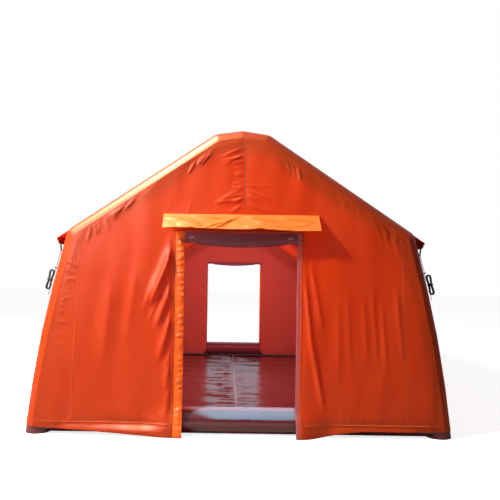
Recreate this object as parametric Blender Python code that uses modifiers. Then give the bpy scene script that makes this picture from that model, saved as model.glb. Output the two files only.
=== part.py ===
"""Inflatable gable tent with a door in each end wall.

Metres, +Z up, X across the tent, the front wall at -Y and the ground at Z = 0.
Each air beam is a solid tube that stands for its skin and the air in it, and
each cloth is a closed sheet a few millimetres thick.
"""

import math

import bmesh
import bpy
from mathutils import Matrix, Vector

# Air frame: middle lines of the beams, seen from the front, and their radii
LENGTH = 5.0  # outside of the front wall to outside of the rear wall
FOOT_HALF = 1.942  # tent middle to the middle of a leg, at the ground
EAVE_HALF = 1.57
EAVE_Z = 1.878
RIDGE_HALF = 0.215
RIDGE_Z = 2.78
RIDGE_CROWN = 0.03
LEG_BOW = 0.04
LEG_STEPS = 4
TUBE_R = 0.125
TUBE_SIDES = 16
PURLIN_R = 0.08
PURLIN_SIDES = 12

# Cloth
CLOTH_T = 0.003
FLAP_OVERHANG = 0.145
VALANCE_DROP = 0.06
VALANCE_LEAN = math.radians(25)
HEM_Z = 0.07
HEM_RISE = 0.6  # the end walls' hem rises over this width beside the door
ROOF_SAG = 0.02
SIDE_SAG = 0.02
SIDE_SAG_FROM = 0.3  # the side walls lie on the ground beams below this height
ARCH_BAND = 0.14  # no sag this close to an arch's middle
LINER_HEM_Z = 0.02
LINER_RETURN = 0.25
LINER_SLACK = 0.03  # the rear liner stands straight up to this far above the ground beam
LINER_EASE = 0.3
LINER_CORNER = 0.05
LINER_CORNER_LIFT = 0.012
FLOOR_TUCK = 0.036

# Doors, alike at both ends
DOOR_HALF = 0.535
DOOR_TOP = 1.94
WIDE_STRIP_W = 0.085
NARROW_STRIP_W = 0.035
DOOR_HEM_Z = 0.006
FLARE = 0.07
FLARE_HEIGHT = 0.36
LINER_DOOR_DROP = 0.08

# Rain flap over each door
AWNING_HALF = 0.735
AWNING_RISE = 0.17  # door's top edge to the rain flap's seam
AWNING_DEPTH = 0.20
AWNING_TILT = math.radians(40)
AWNING_RIPPLE = 0.006

# Rolled door curtain, its straps and toggles
ROLL_HALF = 0.56
ROLL_R = 0.058
ROLL_HANG = 0.052  # door's top edge to the middle of the roll
ROLL_SAG = 0.028
ROLL_NECK = 0.012
ROLL_TAIL = 0.08  # the curtain's tail reaches this far above the door's top edge
ROLL_SIDES = 14
ROLL_TIE_X = 0.47
TIE_BAND = 0.016  # the roll keeps its shape this far from a tie's middle
TIE_W = 0.025
TIE_T = 0.002
TOGGLE_LENGTH = 0.05
TOGGLE_R = 0.006

# Guy points under the eaves and the put-away guy lines at the front
GUY_Z = 1.745
GUY_INSET = 0.04
GUY_STANDOFF = 0.026
GUY_STRAP_W = 0.034
GUY_STRAP_WRAP = math.radians(285)  # how far the strap goes round the ring's bar
RING_R = 0.020
RING_SIDE = 0.004
RING_WIRE_R = 0.0025
RING_CLEARANCE = 0.0006
CORD_R = 0.0025
CORD_LOOP_R = 0.010
SLIDER_DROP = 0.175
SLIDER_LENGTH = 0.0425
SLIDER_WIDTH = 0.014
SLIDER_HEIGHT = 0.009
SLIDER_WALL_GAP = 0.0115
SLIDER_HOLE_R = 0.0032
HANK_TOP_GAP = 0.014
HANK_LENGTH = 0.21
HANK_TURNS_PER_LAYER = 2.5
HANK_LAYERS = 4
HANK_POINTS = 24
HANK_OUTER_R = 0.0240
HANK_STEP = 0.0058
HANK_LAYER_STEP = 0.0056
HANK_WAIST = 0.006
HANK_WAIST_REACH = 0.06
HANK_TAIL = 0.06
HANK_TIE_W = 0.02
HANK_TIE_T = 0.0015
HANK_TIE_SLACK = 0.0026  # the turns draw in less at the tie's ends than at its middle

# Valves on the inner side of the right ground beam
VALVE_Y = -1.80
RELIEF_Y = -1.45
VALVE_FLANGE_R = 0.040
VALVE_NECK_R = 0.028
VALVE_NECK_H = 0.034
VALVE_BORE_R = 0.016
VALVE_STEM_R = 0.004
VALVE_CAP_R = 0.033
VALVE_CAP_LIP = 0.004
VALVE_CAP_TOP = 0.0036
VALVE_HINGE_R = 0.036  # valve's middle to the cap's hinge pin
VALVE_PIN_R = 0.0015
VALVE_KNUCKLE_HALF = 0.005
VALVE_EAR_HALF = 0.010
VALVE_EAR_DEPTH = 0.0048
RELIEF_R = 0.022
RELIEF_H = 0.014

SEAT_GAP = 0.0003
CLEARANCE = 0.0006

HALF_STEP = math.pi / TUBE_SIDES
SKIN_R = TUBE_R + SEAT_GAP
OUTER_R = SKIN_R + CLOTH_T
ARCH_Y = LENGTH / 2 - OUTER_R
GROUND_BEAM_Z = TUBE_R * math.cos(HALF_STEP)
WALL_INSIDE = LENGTH / 2 - CLOTH_T
GUY_Y = ARCH_Y - GUY_INSET

AWNING_TOP = DOOR_TOP + AWNING_RISE
LINER_DOOR_TOP = DOOR_TOP - LINER_DOOR_DROP
ROLL_Z = DOOR_TOP - ROLL_HANG
ROLL_TAIL_Z = DOOR_TOP + ROLL_TAIL

WIDE_EDGE = DOOR_HALF + WIDE_STRIP_W + SEAT_GAP
NARROW_EDGE = DOOR_HALF + NARROW_STRIP_W + SEAT_GAP

for old in list(bpy.data.objects):
    bpy.data.objects.remove(old)
TENT = bpy.data.collections.new("inflatable_tent")
CUTTERS = bpy.data.collections.new("inflatable_tent_cutters")
bpy.context.scene.collection.children.link(TENT)
bpy.context.scene.collection.children.link(CUTTERS)


def display_colour(red, green, blue):
    """Linear colour of an 8-bit display colour."""

    def linear(value):
        value /= 255
        if value <= 0.04045:
            return value / 12.92
        return ((value + 0.055) / 1.055) ** 2.4

    return (linear(red), linear(green), linear(blue), 1.0)


# Colour, roughness and metallic value of each finish
FINISHES = {
    "cover": (display_colour(222, 76, 28), 0.45, 0.0),
    "awning": (display_colour(240, 112, 40), 0.45, 0.0),
    "strip": (display_colour(235, 90, 34), 0.5, 0.0),
    "liner": (display_colour(178, 62, 50), 0.6, 0.0),
    "curtain": (display_colour(124, 62, 84), 0.6, 0.0),
    "air_beam": (display_colour(190, 62, 40), 0.35, 0.0),
    "ground_beam": (display_colour(98, 34, 44), 0.25, 0.0),
    "floor": (display_colour(120, 38, 46), 0.25, 0.0),
    "webbing": (display_colour(28, 26, 30), 0.8, 0.0),
    "cord": (display_colour(24, 20, 22), 0.8, 0.0),
    "steel": (display_colour(150, 150, 152), 0.3, 1.0),
    "black_plastic": (display_colour(24, 24, 26), 0.45, 0.0),
    "toggle": (display_colour(225, 190, 190), 0.5, 0.0),
    "valve_plastic": (display_colour(60, 60, 64), 0.45, 0.0),
}


def finish_material(name):
    """The material of a finish, made the first time that it is asked for."""
    material = bpy.data.materials.get(name)
    if material:
        return material
    colour, roughness, metallic = FINISHES[name]
    material = bpy.data.materials.new(name)
    material.use_nodes = True
    shader = material.node_tree.nodes["Principled BSDF"]
    shader.inputs["Base Color"].default_value = colour
    shader.inputs["Roughness"].default_value = roughness
    shader.inputs["Metallic"].default_value = metallic
    return material


def add_part(name, bm, finish, origin=(0, 0, 0)):
    """Stores a bmesh as a part whose origin lies at the given world point."""
    bm.transform(Matrix.Translation(-Vector(origin)))
    mesh = bpy.data.meshes.new(name)
    bm.to_mesh(mesh)
    bm.free()
    mesh.shade_smooth()
    mesh.set_sharp_from_angle(angle=math.radians(35))
    mesh.materials.append(finish_material(finish))
    part = bpy.data.objects.new(name, mesh)
    part.location = origin
    TENT.objects.link(part)
    return part


def add_cutter(name, bm):
    """Stores a bmesh as a hidden cutter."""
    mesh = bpy.data.meshes.new(name)
    bm.to_mesh(mesh)
    bm.free()
    cutter = bpy.data.objects.new(name, mesh)
    cutter.hide_render = True
    cutter.display_type = "WIRE"
    CUTTERS.objects.link(cutter)
    return cutter


def cut(part, cutter):
    """Takes the cutter's volume out of the part."""
    boolean = part.modifiers.new("cut " + cutter.name, "BOOLEAN")
    boolean.operation = "DIFFERENCE"
    boolean.solver = "EXACT"
    boolean.object = cutter


def thicken(part, thickness=CLOTH_T, offset=1.0):
    """Gives an open sheet its thickness, towards its faces' front side."""
    wall = part.modifiers.new("thickness", "SOLIDIFY")
    wall.thickness = thickness
    wall.offset = offset
    wall.use_even_offset = True
    wall.use_rim = True
    return part


def loft(sections):
    """Bridges closed sections of equal count one after another and caps the ends."""
    bm = bmesh.new()
    loops = []
    for section in sections:
        verts = [bm.verts.new(point) for point in section]
        loops.append([bm.edges.new((verts[i - 1], verts[i])) for i in range(len(verts))])
    for first, second in zip(loops, loops[1:]):
        bmesh.ops.bridge_loops(bm, edges=first + second)
    bmesh.ops.holes_fill(bm, edges=loops[0] + loops[-1])
    bmesh.ops.recalc_face_normals(bm, faces=bm.faces)
    return bm


def turned(profile, steps):
    """A solid turned about Z from (radius, height) points that start and end on the axis."""
    bm = bmesh.new()
    verts = [bm.verts.new((radius, 0, height)) for radius, height in profile]
    edges = [bm.edges.new(pair) for pair in zip(verts, verts[1:])]
    bmesh.ops.spin(
        bm,
        geom=verts + edges,
        cent=(0, 0, 0),
        axis=(0, 0, 1),
        angle=math.tau,
        steps=steps,
        use_merge=True,
    )
    bmesh.ops.remove_doubles(bm, verts=bm.verts, dist=1e-6)
    bmesh.ops.recalc_face_normals(bm, faces=bm.faces)
    return bm


def sheet(us, vs, place):
    """A grid of faces with a column line at each u and a row line at each v.

    place(u, v) gives the point. Faces look towards du x dv.
    """
    bm = bmesh.new()
    columns = len(us) - 1
    rows = len(vs) - 1
    bmesh.ops.create_grid(bm, x_segments=columns, y_segments=rows, size=1)
    for vert in bm.verts:
        column = round((vert.co.x + 1) / 2 * columns)
        row = round((vert.co.y + 1) / 2 * rows)
        vert.co = place(us[column], vs[row])
    return bm


def wire(name, points, radius, finish, origin, resolution=2, cyclic=False):
    """A round wire or cord through world points, as a curve with filled caps."""
    curve = bpy.data.curves.new(name, "CURVE")
    curve.dimensions = "3D"
    curve.bevel_depth = radius
    curve.bevel_resolution = resolution
    curve.use_fill_caps = not cyclic
    spline = curve.splines.new("POLY")
    spline.points.add(len(points) - 1)
    spline.use_cyclic_u = cyclic
    for knot, point in zip(spline.points, points):
        knot.co = (*(Vector(point) - Vector(origin)), 1)
    curve.materials.append(finish_material(finish))
    part = bpy.data.objects.new(name, curve)
    part.location = origin
    TENT.objects.link(part)
    return part


def spaced(start, end, count):
    """Evenly spaced values from start to end, both included."""
    return [start + (end - start) * i / count for i in range(count + 1)]


def smooth(value):
    """Rises smoothly from 0 to 1 as value does."""
    value = min(max(value, 0.0), 1.0)
    return value * value * (3 - 2 * value)


# The frame's outline, seen from the front, as (x, z) points


def centre_line():
    """Middle line of an arch, from the left foot over the ridge to the right foot."""
    half = []
    for i in range(LEG_STEPS + 1):
        share = i / LEG_STEPS
        x = FOOT_HALF + (EAVE_HALF - FOOT_HALF) * share + LEG_BOW * math.sin(math.pi * share)
        half.append(Vector((x, EAVE_Z * share)))
    half.append(Vector((RIDGE_HALF, RIDGE_Z)))
    left = [Vector((-point.x, point.y)) for point in half]
    return left + [Vector((0, RIDGE_Z + RIDGE_CROWN))] + half[::-1]


def normals(line):
    """Unit outward normal of each run of the line."""
    found = []
    for start, end in zip(line, line[1:]):
        run = (end - start).normalized()
        found.append(Vector((-run.y, run.x)))
    return found


def mitres(line):
    """Vector at each point that keeps both its runs at unit distance."""
    sides = normals(line)
    inner = [(a + b) / (1 + a.dot(b)) for a, b in zip(sides, sides[1:])]
    return [sides[0]] + inner + [sides[-1]]


def offset_line(line, distance):
    """The line moved outwards, with its corners mitred."""
    return [point + mitre * distance for point, mitre in zip(line, mitres(line))]


ARCH_LINE = centre_line()
EAVE_INDEX = LEG_STEPS
RIGHT_EAVE_INDEX = len(ARCH_LINE) - 1 - EAVE_INDEX


def leg_x(z, distance):
    """How far out the right leg's line, moved out by distance, lies at a height."""
    line = offset_line(ARCH_LINE, distance)[RIGHT_EAVE_INDEX:]
    for upper, lower in zip(line, line[1:]):
        if z >= lower.y or lower is line[-1]:
            share = (upper.y - z) / (upper.y - lower.y)
            return upper.x + (lower.x - upper.x) * share


def arch_bmesh(y, radius, below=0.0):
    """An arch's tube: flat sides at the radius, feet cut level with the ground."""
    line = [point.copy() for point in ARCH_LINE]
    vectors = mitres(line)
    for end, neighbour in ((0, 1), (-1, -2)):
        vectors[end] = Vector((1 / vectors[end].x, 0))
        run = (line[end] - line[neighbour]).normalized()
        line[end] = line[end] + run * (below / -run.y)
    corner_r = radius / math.cos(HALF_STEP)
    sections = []
    for point, mitre in zip(line, vectors):
        section = []
        for i in range(TUBE_SIDES):
            angle = (2 * i + 1) * HALF_STEP
            spot = point + mitre * (corner_r * math.sin(angle))
            section.append((spot.x, y - corner_r * math.cos(angle), spot.y))
        sections.append(section)
    return loft(sections)


def tube_bmesh(start, end, radius, sides):
    """A straight tube between two middle points, a flat side at the bottom."""
    start = Vector(start)
    run = Vector(end) - start
    bm = bmesh.new()
    bmesh.ops.create_cone(
        bm,
        cap_ends=True,
        segments=sides,
        radius1=radius,
        radius2=radius,
        depth=run.length,
        matrix=Matrix.Rotation(math.pi / sides, 4, "Z"),
    )
    turn = run.to_track_quat("Z", "Y").to_matrix().to_4x4()
    bm.transform(Matrix.Translation(start + run / 2) @ turn)
    return bm


def beam(name, start, end, radius, sides, finish, cutters):
    """A straight air beam, coped on to the beams that it meets."""
    part = add_part(name, tube_bmesh(start, end, radius, sides), finish)
    for cutter in cutters:
        cut(part, cutter)


ARCH_PLACES = {"front": -ARCH_Y, "mid": 0.0, "rear": ARCH_Y}
CUTTER_BELOW = 0.05


def make_frame():
    """Three arches, the beams on the ground and the purlins between the arches."""
    cutters = {}
    for place, y in ARCH_PLACES.items():
        add_part(place + "_arch", arch_bmesh(y, TUBE_R), "air_beam")
        cutter_mesh = arch_bmesh(y, TUBE_R + SEAT_GAP, CUTTER_BELOW)
        cutters[place] = add_cutter(place + "_arch_cutter", cutter_mesh)
    leg = leg_x(GROUND_BEAM_Z, 0)
    end_cutters = {}
    for place in ("front", "rear"):
        y = ARCH_PLACES[place]
        ends = [(side * leg, y, GROUND_BEAM_Z) for side in (-1, 1)]
        name = place + "_ground_beam"
        beam(name, *ends, TUBE_R, TUBE_SIDES, "ground_beam", [cutters[place]])
        over = [(side * (leg + 2 * TUBE_R), y, GROUND_BEAM_Z) for side in (-1, 1)]
        end_cutter = tube_bmesh(*over, TUBE_R + SEAT_GAP, TUBE_SIDES)
        end_cutters[place] = add_cutter(name + "_cutter", end_cutter)
    for bay in ("front", "rear"):
        pair = [cutters[bay], cutters["mid"]]
        for side, side_name in ((-1, "left"), (1, "right")):
            ends = ((side * leg, ARCH_PLACES[bay], GROUND_BEAM_Z), (side * leg, 0, GROUND_BEAM_Z))
            name = f"{bay}_{side_name}_ground_beam"
            beam(name, *ends, TUBE_R, TUBE_SIDES, "ground_beam", pair + [end_cutters[bay]])
            eave = side * EAVE_HALF
            ends = ((eave, ARCH_PLACES[bay], EAVE_Z), (eave, 0, EAVE_Z))
            name = f"{bay}_{side_name}_eave_purlin"
            beam(name, *ends, PURLIN_R, PURLIN_SIDES, "air_beam", pair)
        ends = ((0, ARCH_PLACES[bay], RIDGE_Z), (0, 0, RIDGE_Z))
        beam(bay + "_ridge_purlin", *ends, PURLIN_R, PURLIN_SIDES, "air_beam", pair)
    return cutters


# The end walls, built facing -Y and turned about Z for the rear

# Main folds of an end wall, each a ridge from a top to a bottom point (x, z)
# with its width and its height
WALL_FOLDS = (
    ((-0.70, 1.92), (-0.92, 1.12), 0.060, 0.030),
    ((-0.70, 1.55), (-0.84, 0.75), 0.055, 0.026),
    ((-0.68, 1.20), (-0.74, 0.40), 0.045, 0.022),
    ((0.63, 1.62), (0.76, 0.36), 0.055, 0.030),
    ((0.70, 1.66), (0.86, 0.60), 0.050, 0.020),
    ((1.00, 1.30), (1.04, 0.60), 0.070, 0.016),
    ((1.26, 1.34), (1.34, 0.62), 0.070, 0.018),
    ((-1.28, 1.72), (-1.36, 0.70), 0.090, 0.014),
)
DOOR_BORDER = 0.02  # neither fold nor slope this close to the door's edge
FOLD_RISE = 0.07
FOLD_BAND = 0.68  # width beside the door with close column lines
FOLD_INSET = 0.12  # the folds fade out this far inside the arch
FLARE_REACH = 0.3


def fold_height(x, z):
    """How far the folds lift an end wall outwards."""
    height = 0.0
    for (top_x, top_z), (bottom_x, bottom_z), width, lift in WALL_FOLDS:
        share = (top_z - z) / (top_z - bottom_z)
        across = x - (top_x + (bottom_x - top_x) * share)
        ends = math.sin(math.pi * share) if 0 < share < 1 else 0.0
        height += lift * ends * math.exp(-((across / width) ** 2))
    return height * smooth(beyond_door(x) / FOLD_RISE)


def beyond_door(x):
    """How far a place lies outside the door's border."""
    edge = WIDE_EDGE if x < 0 else NARROW_EDGE
    return abs(x) - edge - DOOR_BORDER


def flare_height(x, z):
    """How far the wall's foot stands forward beside the door."""
    beside = 1 - smooth(beyond_door(x) / FLARE_REACH)
    return FLARE * beside * smooth(1 - z / FLARE_HEIGHT)


def hem_height(x):
    """Height of the wall's hem: low beside the door, higher towards the legs."""
    return DOOR_HEM_Z + (HEM_Z - DOOR_HEM_Z) * smooth((abs(x) - WIDE_EDGE) / HEM_RISE)


# Row lines of an end wall: beside the door as shares of the door's height, then above it
DOOR_ROWS = (0, 0.05, 0.1, 0.19, 0.28, 0.41, 0.54, 0.67, 0.79, 0.9, 1)
ROWS_ABOVE = 4
WALL_TOP_Z = RIDGE_Z + RIDGE_CROWN + OUTER_R


def row_height(row, x):
    """Height of a row line beside the door: the first one is the hem."""
    return row * DOOR_TOP if row else hem_height(x)


def wall_columns(fold_step):
    """Column lines of an end wall: close beside the door, wider towards the legs."""
    reach = FOOT_HALF + OUTER_R
    fine = round(FOLD_BAND / fold_step)
    left = [-WIDE_EDGE - DOOR_BORDER - fold_step * i for i in range(fine + 1)]
    right = [NARROW_EDGE + DOOR_BORDER + fold_step * i for i in range(fine + 2)]
    left.insert(0, -WIDE_EDGE)
    right.insert(0, NARROW_EDGE)
    outer_left = spaced(-reach, left[-1], 3)[:-1]
    outer_right = spaced(right[-1], reach, 2)[1:]
    middle = spaced(left[0], right[0], 4)[1:-1]
    return outer_left + left[::-1] + middle + right + outer_right


def delete_door(bm, left, right, top):
    """Removes the faces inside the door's outline."""
    inside = []
    for face in bm.faces:
        middle = face.calc_center_median()
        if left < middle.x < right and middle.z < top:
            inside.append(face)
    bmesh.ops.delete(bm, geom=inside, context="FACES")


def trim(bm, line):
    """Cuts a flat sheet in the XZ plane along a convex outline."""
    for start, normal in zip(line, normals(line)):
        geometry = list(bm.verts) + list(bm.edges) + list(bm.faces)
        bmesh.ops.bisect_plane(
            bm,
            geom=geometry,
            dist=1e-6,
            plane_co=(start.x, 0, start.y),
            plane_no=(normal.x, 0, normal.y),
            clear_outer=True,
        )


def outward(line, x, z):
    """The mitre vector of the outline at a point on it."""
    here = Vector((x, z))
    for point, mitre in zip(line[1:-1], mitres(line)[1:-1]):
        if (point - here).length < 1e-4:
            return mitre
    sides = normals(line)
    distances = [abs((here - start).dot(side)) for start, side in zip(line, sides)]
    near = []
    for start, end, side, distance in zip(line, line[1:], sides, distances):
        share = (here - start).dot(end - start) / (end - start).length_squared
        if -0.2 < share < 1.2 or side in (sides[0], sides[-1]):
            near.append((distance, side))
    return min(near, key=lambda item: item[0])[1]


def wrap_round_arch(bm, line):
    """Carries the sheet's outer edge round the front quarter of the arch's tube."""
    corner_r = SKIN_R / math.cos(HALF_STEP)
    field = offset_line(line, corner_r * math.sin(HALF_STEP))
    sides = normals(field)

    def on_outline(vert):
        spot = Vector((vert.co.x, vert.co.z))
        return any(abs((spot - start).dot(side)) < 2e-5 for start, side in zip(field, sides))

    edges = [
        edge
        for edge in bm.edges
        if edge.is_boundary and on_outline(edge.verts[0]) and on_outline(edge.verts[1])
    ]
    steps = [(2 * i + 1) * HALF_STEP for i in range(1, TUBE_SIDES // 4)]
    reach = [(corner_r * math.sin(step), SKIN_R - corner_r * math.cos(step)) for step in steps]
    reach.append((SKIN_R, SKIN_R - SEAT_GAP / 2))
    base = {}
    for vert in {vert for edge in edges for vert in edge.verts}:
        start = Vector((vert.co.x, vert.co.z))
        base[tuple(round(value, 5) for value in vert.co)] = (start, outward(field, *start))
    start_r = corner_r * math.sin(HALF_STEP)
    for radial, back in reach:
        new = bmesh.ops.extrude_edge_only(bm, edges=edges)["geom"]
        edges = [item for item in new if isinstance(item, bmesh.types.BMEdge)]
        moved = {}
        for vert in [item for item in new if isinstance(item, bmesh.types.BMVert)]:
            start, mitre = base[tuple(round(value, 5) for value in vert.co)]
            spot = start + mitre * (radial - start_r)
            vert.co = (spot.x, back, spot.y)
            moved[tuple(round(value, 5) for value in vert.co)] = (start, mitre)
        base = moved


def face_towards(bm, direction):
    """Turns an open sheet so that its largest face looks along a direction."""
    bmesh.ops.recalc_face_normals(bm, faces=bm.faces)
    largest = max(bm.faces, key=lambda face: face.calc_area())
    if largest.normal.dot(Vector(direction)) < 0:
        bmesh.ops.reverse_faces(bm, faces=bm.faces)


def turned_to(place):
    """Matrix that takes what is built for the front to its end of the tent."""
    return Matrix.Rotation(math.pi if place == "rear" else 0.0, 4, "Z")


def end_wall(place, fold_step):
    """An end wall: its flat field, its folds and its wrap round the arch."""
    columns = wall_columns(fold_step)
    rows = DOOR_ROWS + tuple(spaced(1, WALL_TOP_Z / DOOR_TOP, ROWS_ABOVE)[1:])
    bm = sheet(columns, rows, lambda x, row: (x, 0, row_height(row, x)))
    delete_door(bm, -WIDE_EDGE, NARROW_EDGE, DOOR_TOP)
    corner_r = SKIN_R / math.cos(HALF_STEP)
    line = [point.copy() for point in ARCH_LINE]
    trim(bm, offset_line(line, corner_r * math.sin(HALF_STEP)))
    field = list(bm.verts)
    wrap_round_arch(bm, line)
    free = offset_line(line, -TUBE_R)
    for vert in field:
        spot = Vector((vert.co.x, vert.co.z))
        inset = min(
            (start - spot).dot(side) for start, side in zip(free, normals(free))
        )
        lift = fold_height(vert.co.x, vert.co.z) * smooth(inset / FOLD_INSET)
        vert.co.y = -lift - flare_height(vert.co.x, vert.co.z)
    face_towards(bm, (0, -1, 0))
    bm.transform(turned_to(place) @ Matrix.Translation((0, -WALL_INSIDE, 0)))
    return thicken(add_part(place + "_wall", bm, "cover"))


def door_strip(place, side_name, inner, outer):
    """The strip down one edge of a door, between two x values."""
    rows = DOOR_ROWS[:-1] + (1 - SEAT_GAP / DOOR_TOP,)

    def strip_point(x, row):
        z = row_height(row, x)
        return (x, -flare_height(x, z), z)

    bm = sheet(spaced(*sorted((inner, outer)), 1), rows, strip_point)
    bm.transform(turned_to(place) @ Matrix.Translation((0, -WALL_INSIDE, 0)))
    thicken(add_part(f"{place}_{side_name}_door_strip", bm, "strip"))


def awning(place):
    """The rain flap over a door, sewn on along its top edge."""

    def flap_point(x, drop):
        ripple = AWNING_RIPPLE * math.sin(x * 9.0) * drop / AWNING_DEPTH
        out = drop * math.sin(AWNING_TILT) + ripple * math.cos(AWNING_TILT)
        down = drop * math.cos(AWNING_TILT) - ripple * math.sin(AWNING_TILT)
        return (x, -AWNING_AXIS_Y - out, AWNING_TOP - down)

    bm = sheet(spaced(-AWNING_HALF, AWNING_HALF, 16), spaced(AWNING_DEPTH, 0, 3), flap_point)
    bm.transform(turned_to(place))
    axis = turned_to(place) @ Vector((0, -AWNING_AXIS_Y, AWNING_TOP))
    thicken(add_part(place + "_awning", bm, "awning", axis), offset=0)


AWNING_AXIS_Y = LENGTH / 2 + SEAT_GAP + CLOTH_T / 2


# Rolled curtains: a section is in (depth behind the wall's inside, height)


def roll_shape(x):
    """Radius and middle height of the roll at a place along it."""
    from_tie = max(abs(abs(x) - ROLL_TIE_X) - TIE_BAND, 0)
    near_tie = math.exp(-((from_tie / 0.035) ** 2))
    between = ROLL_TIE_X - TIE_BAND
    sag = ROLL_SAG * math.cos(math.pi * x / (2 * between)) if abs(x) < between else 0.0
    return ROLL_R - ROLL_NECK * near_tie, ROLL_Z - sag


def roll_outline(x):
    """The back of the curtain's tail, then the roll that it ends in."""
    radius, height = roll_shape(x)
    first = math.acos(1 - CLOTH_T / radius)
    points = [Vector((SEAT_GAP + CLOTH_T, ROLL_TAIL_Z))]
    for angle in spaced(first, math.tau, ROLL_SIDES):
        depth = SEAT_GAP + radius * (1 - math.cos(angle))
        points.append(Vector((depth, height + radius * math.sin(angle))))
    return points


def door_roll(place):
    """The door's curtain, rolled up and hung under the door head."""
    between = ROLL_TIE_X - TIE_BAND
    half = spaced(between / 4, between, 3) + spaced(ROLL_TIE_X + TIE_BAND, ROLL_HALF, 2)
    sections = []
    for x in [-x for x in half[::-1]] + half:
        outline = [Vector((SEAT_GAP, ROLL_TAIL_Z))] + roll_outline(x)
        sections.append([(x, -WALL_INSIDE + depth, z) for depth, z in outline])
    bm = loft(sections)
    bm.transform(turned_to(place))
    add_part(place + "_door_roll", bm, "curtain")


def roll_tie(place, side, side_name):
    """A strap from the wall round the back of the roll, open at the front."""
    path = offset_line(roll_outline(ROLL_TIE_X), SEAT_GAP + TIE_T / 2)
    width = [side * ROLL_TIE_X - TIE_W / 2, side * ROLL_TIE_X + TIE_W / 2]
    bm = sheet(width, path, lambda x, spot: (x, -WALL_INSIDE + spot[0], spot[1]))
    bm.transform(turned_to(place))
    thicken(add_part(f"{place}_{side_name}_roll_tie", bm, "webbing"), TIE_T, 0)


def toggle(place, side, side_name):
    """A turned toggle on the front end of a roll's strap."""
    half = TOGGLE_LENGTH / 2
    profile = (
        (0, -half),
        (0.6 * TOGGLE_R, -half),
        (TOGGLE_R, -half + 0.5 * TOGGLE_R),
        (TOGGLE_R, -0.5 * TOGGLE_R),
        (0.7 * TOGGLE_R, 0),
        (TOGGLE_R, 0.5 * TOGGLE_R),
        (TOGGLE_R, half - 0.5 * TOGGLE_R),
        (0.6 * TOGGLE_R, half),
        (0, half),
    )
    bm = turned(profile, 10)
    height = roll_shape(ROLL_TIE_X)[1]
    standoff = WALL_INSIDE + TIE_T + SEAT_GAP + TOGGLE_R
    axis = turned_to(place) @ Vector((side * ROLL_TIE_X, -standoff, height))
    bm.transform(Matrix.Translation(axis) @ Matrix.Rotation(math.pi / 2, 4, "Y"))
    add_part(f"{place}_{side_name}_toggle", bm, "toggle", axis)


# Cover over the length of the tent


def along_bays(count):
    """Places along Y from the front wrap's edge to the rear one's."""
    half = spaced(ARCH_BAND, ARCH_Y - ARCH_BAND, count) + [ARCH_Y - SEAT_GAP / 2]
    return [-y for y in half[::-1]] + half


def between_arches(y):
    """0 over an arch, 1 midway between two."""
    share = (abs(y) - ARCH_BAND) / (ARCH_Y - 2 * ARCH_BAND)
    return math.sin(math.pi * min(max(share, 0), 1)) ** 2


def roof_cover():
    """The roof from one eave's valance over the ridge to the other's."""
    line = offset_line(ARCH_LINE, SKIN_R)
    ridge = line[EAVE_INDEX + 1 : RIGHT_EAVE_INDEX]
    half = [point for point in ridge if point.x >= -1e-6]
    eave = line[RIGHT_EAVE_INDEX]
    slope = (eave - half[-1]).normalized()
    tip = eave + slope * FLAP_OVERHANG
    drop = Vector((-math.sin(VALANCE_LEAN), -math.cos(VALANCE_LEAN))) * VALANCE_DROP
    rafter = [half[-1] + (eave - half[-1]) * share for share in (0.33, 0.66, 1.0)]
    right = half + rafter + [tip, tip + drop]
    section = [Vector((-point.x, point.y)) for point in right[:0:-1]] + right

    def roof_point(y, spot):
        rafter_share = (EAVE_HALF - abs(spot.x)) / EAVE_HALF
        sag = ROOF_SAG * between_arches(y) * smooth(3 * rafter_share)
        return (spot.x, y, spot.y - sag)

    bm = sheet(along_bays(4), section, roof_point)
    face_towards(bm, (0, 0, 1))
    thicken(add_part("roof_cover", bm, "cover"))
    return tip, tip + drop


def side_wall(side, side_name):
    """A side wall from under the roof's edge down to its hem, round the legs."""
    inner = offset_line(ARCH_LINE, SKIN_R)[RIGHT_EAVE_INDEX:]
    outer = offset_line(ARCH_LINE, OUTER_R)[RIGHT_EAVE_INDEX:]
    rafter = normals(ARCH_LINE)[RIGHT_EAVE_INDEX - 1]
    run = (inner[1] - inner[0]).normalized()
    over = (outer[0] - inner[0]).dot(rafter)
    top = inner[0] + run * ((over + SEAT_GAP) / abs(run.dot(rafter)))
    lower = [Vector((leg_x(z, SKIN_R), z)) for z in (HEM_Z, SIDE_SAG_FROM)]
    section = lower + inner[-2:0:-1] + [top]
    extra = (section[-1] + section[-2]) / 2
    section.insert(-1, extra)

    def wall_point(y, spot):
        up = (spot.y - SIDE_SAG_FROM) / (top.y - SIDE_SAG_FROM)
        free = math.sin(math.pi * min(max(up, 0), 1))
        sag = SIDE_SAG * between_arches(y) * free
        return (side * (spot.x - sag), y, spot.y)

    bm = sheet(along_bays(4), section, wall_point)
    face_towards(bm, (side, 0, 0))
    thicken(add_part(side_name + "_side_wall", bm, "cover"))


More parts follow.
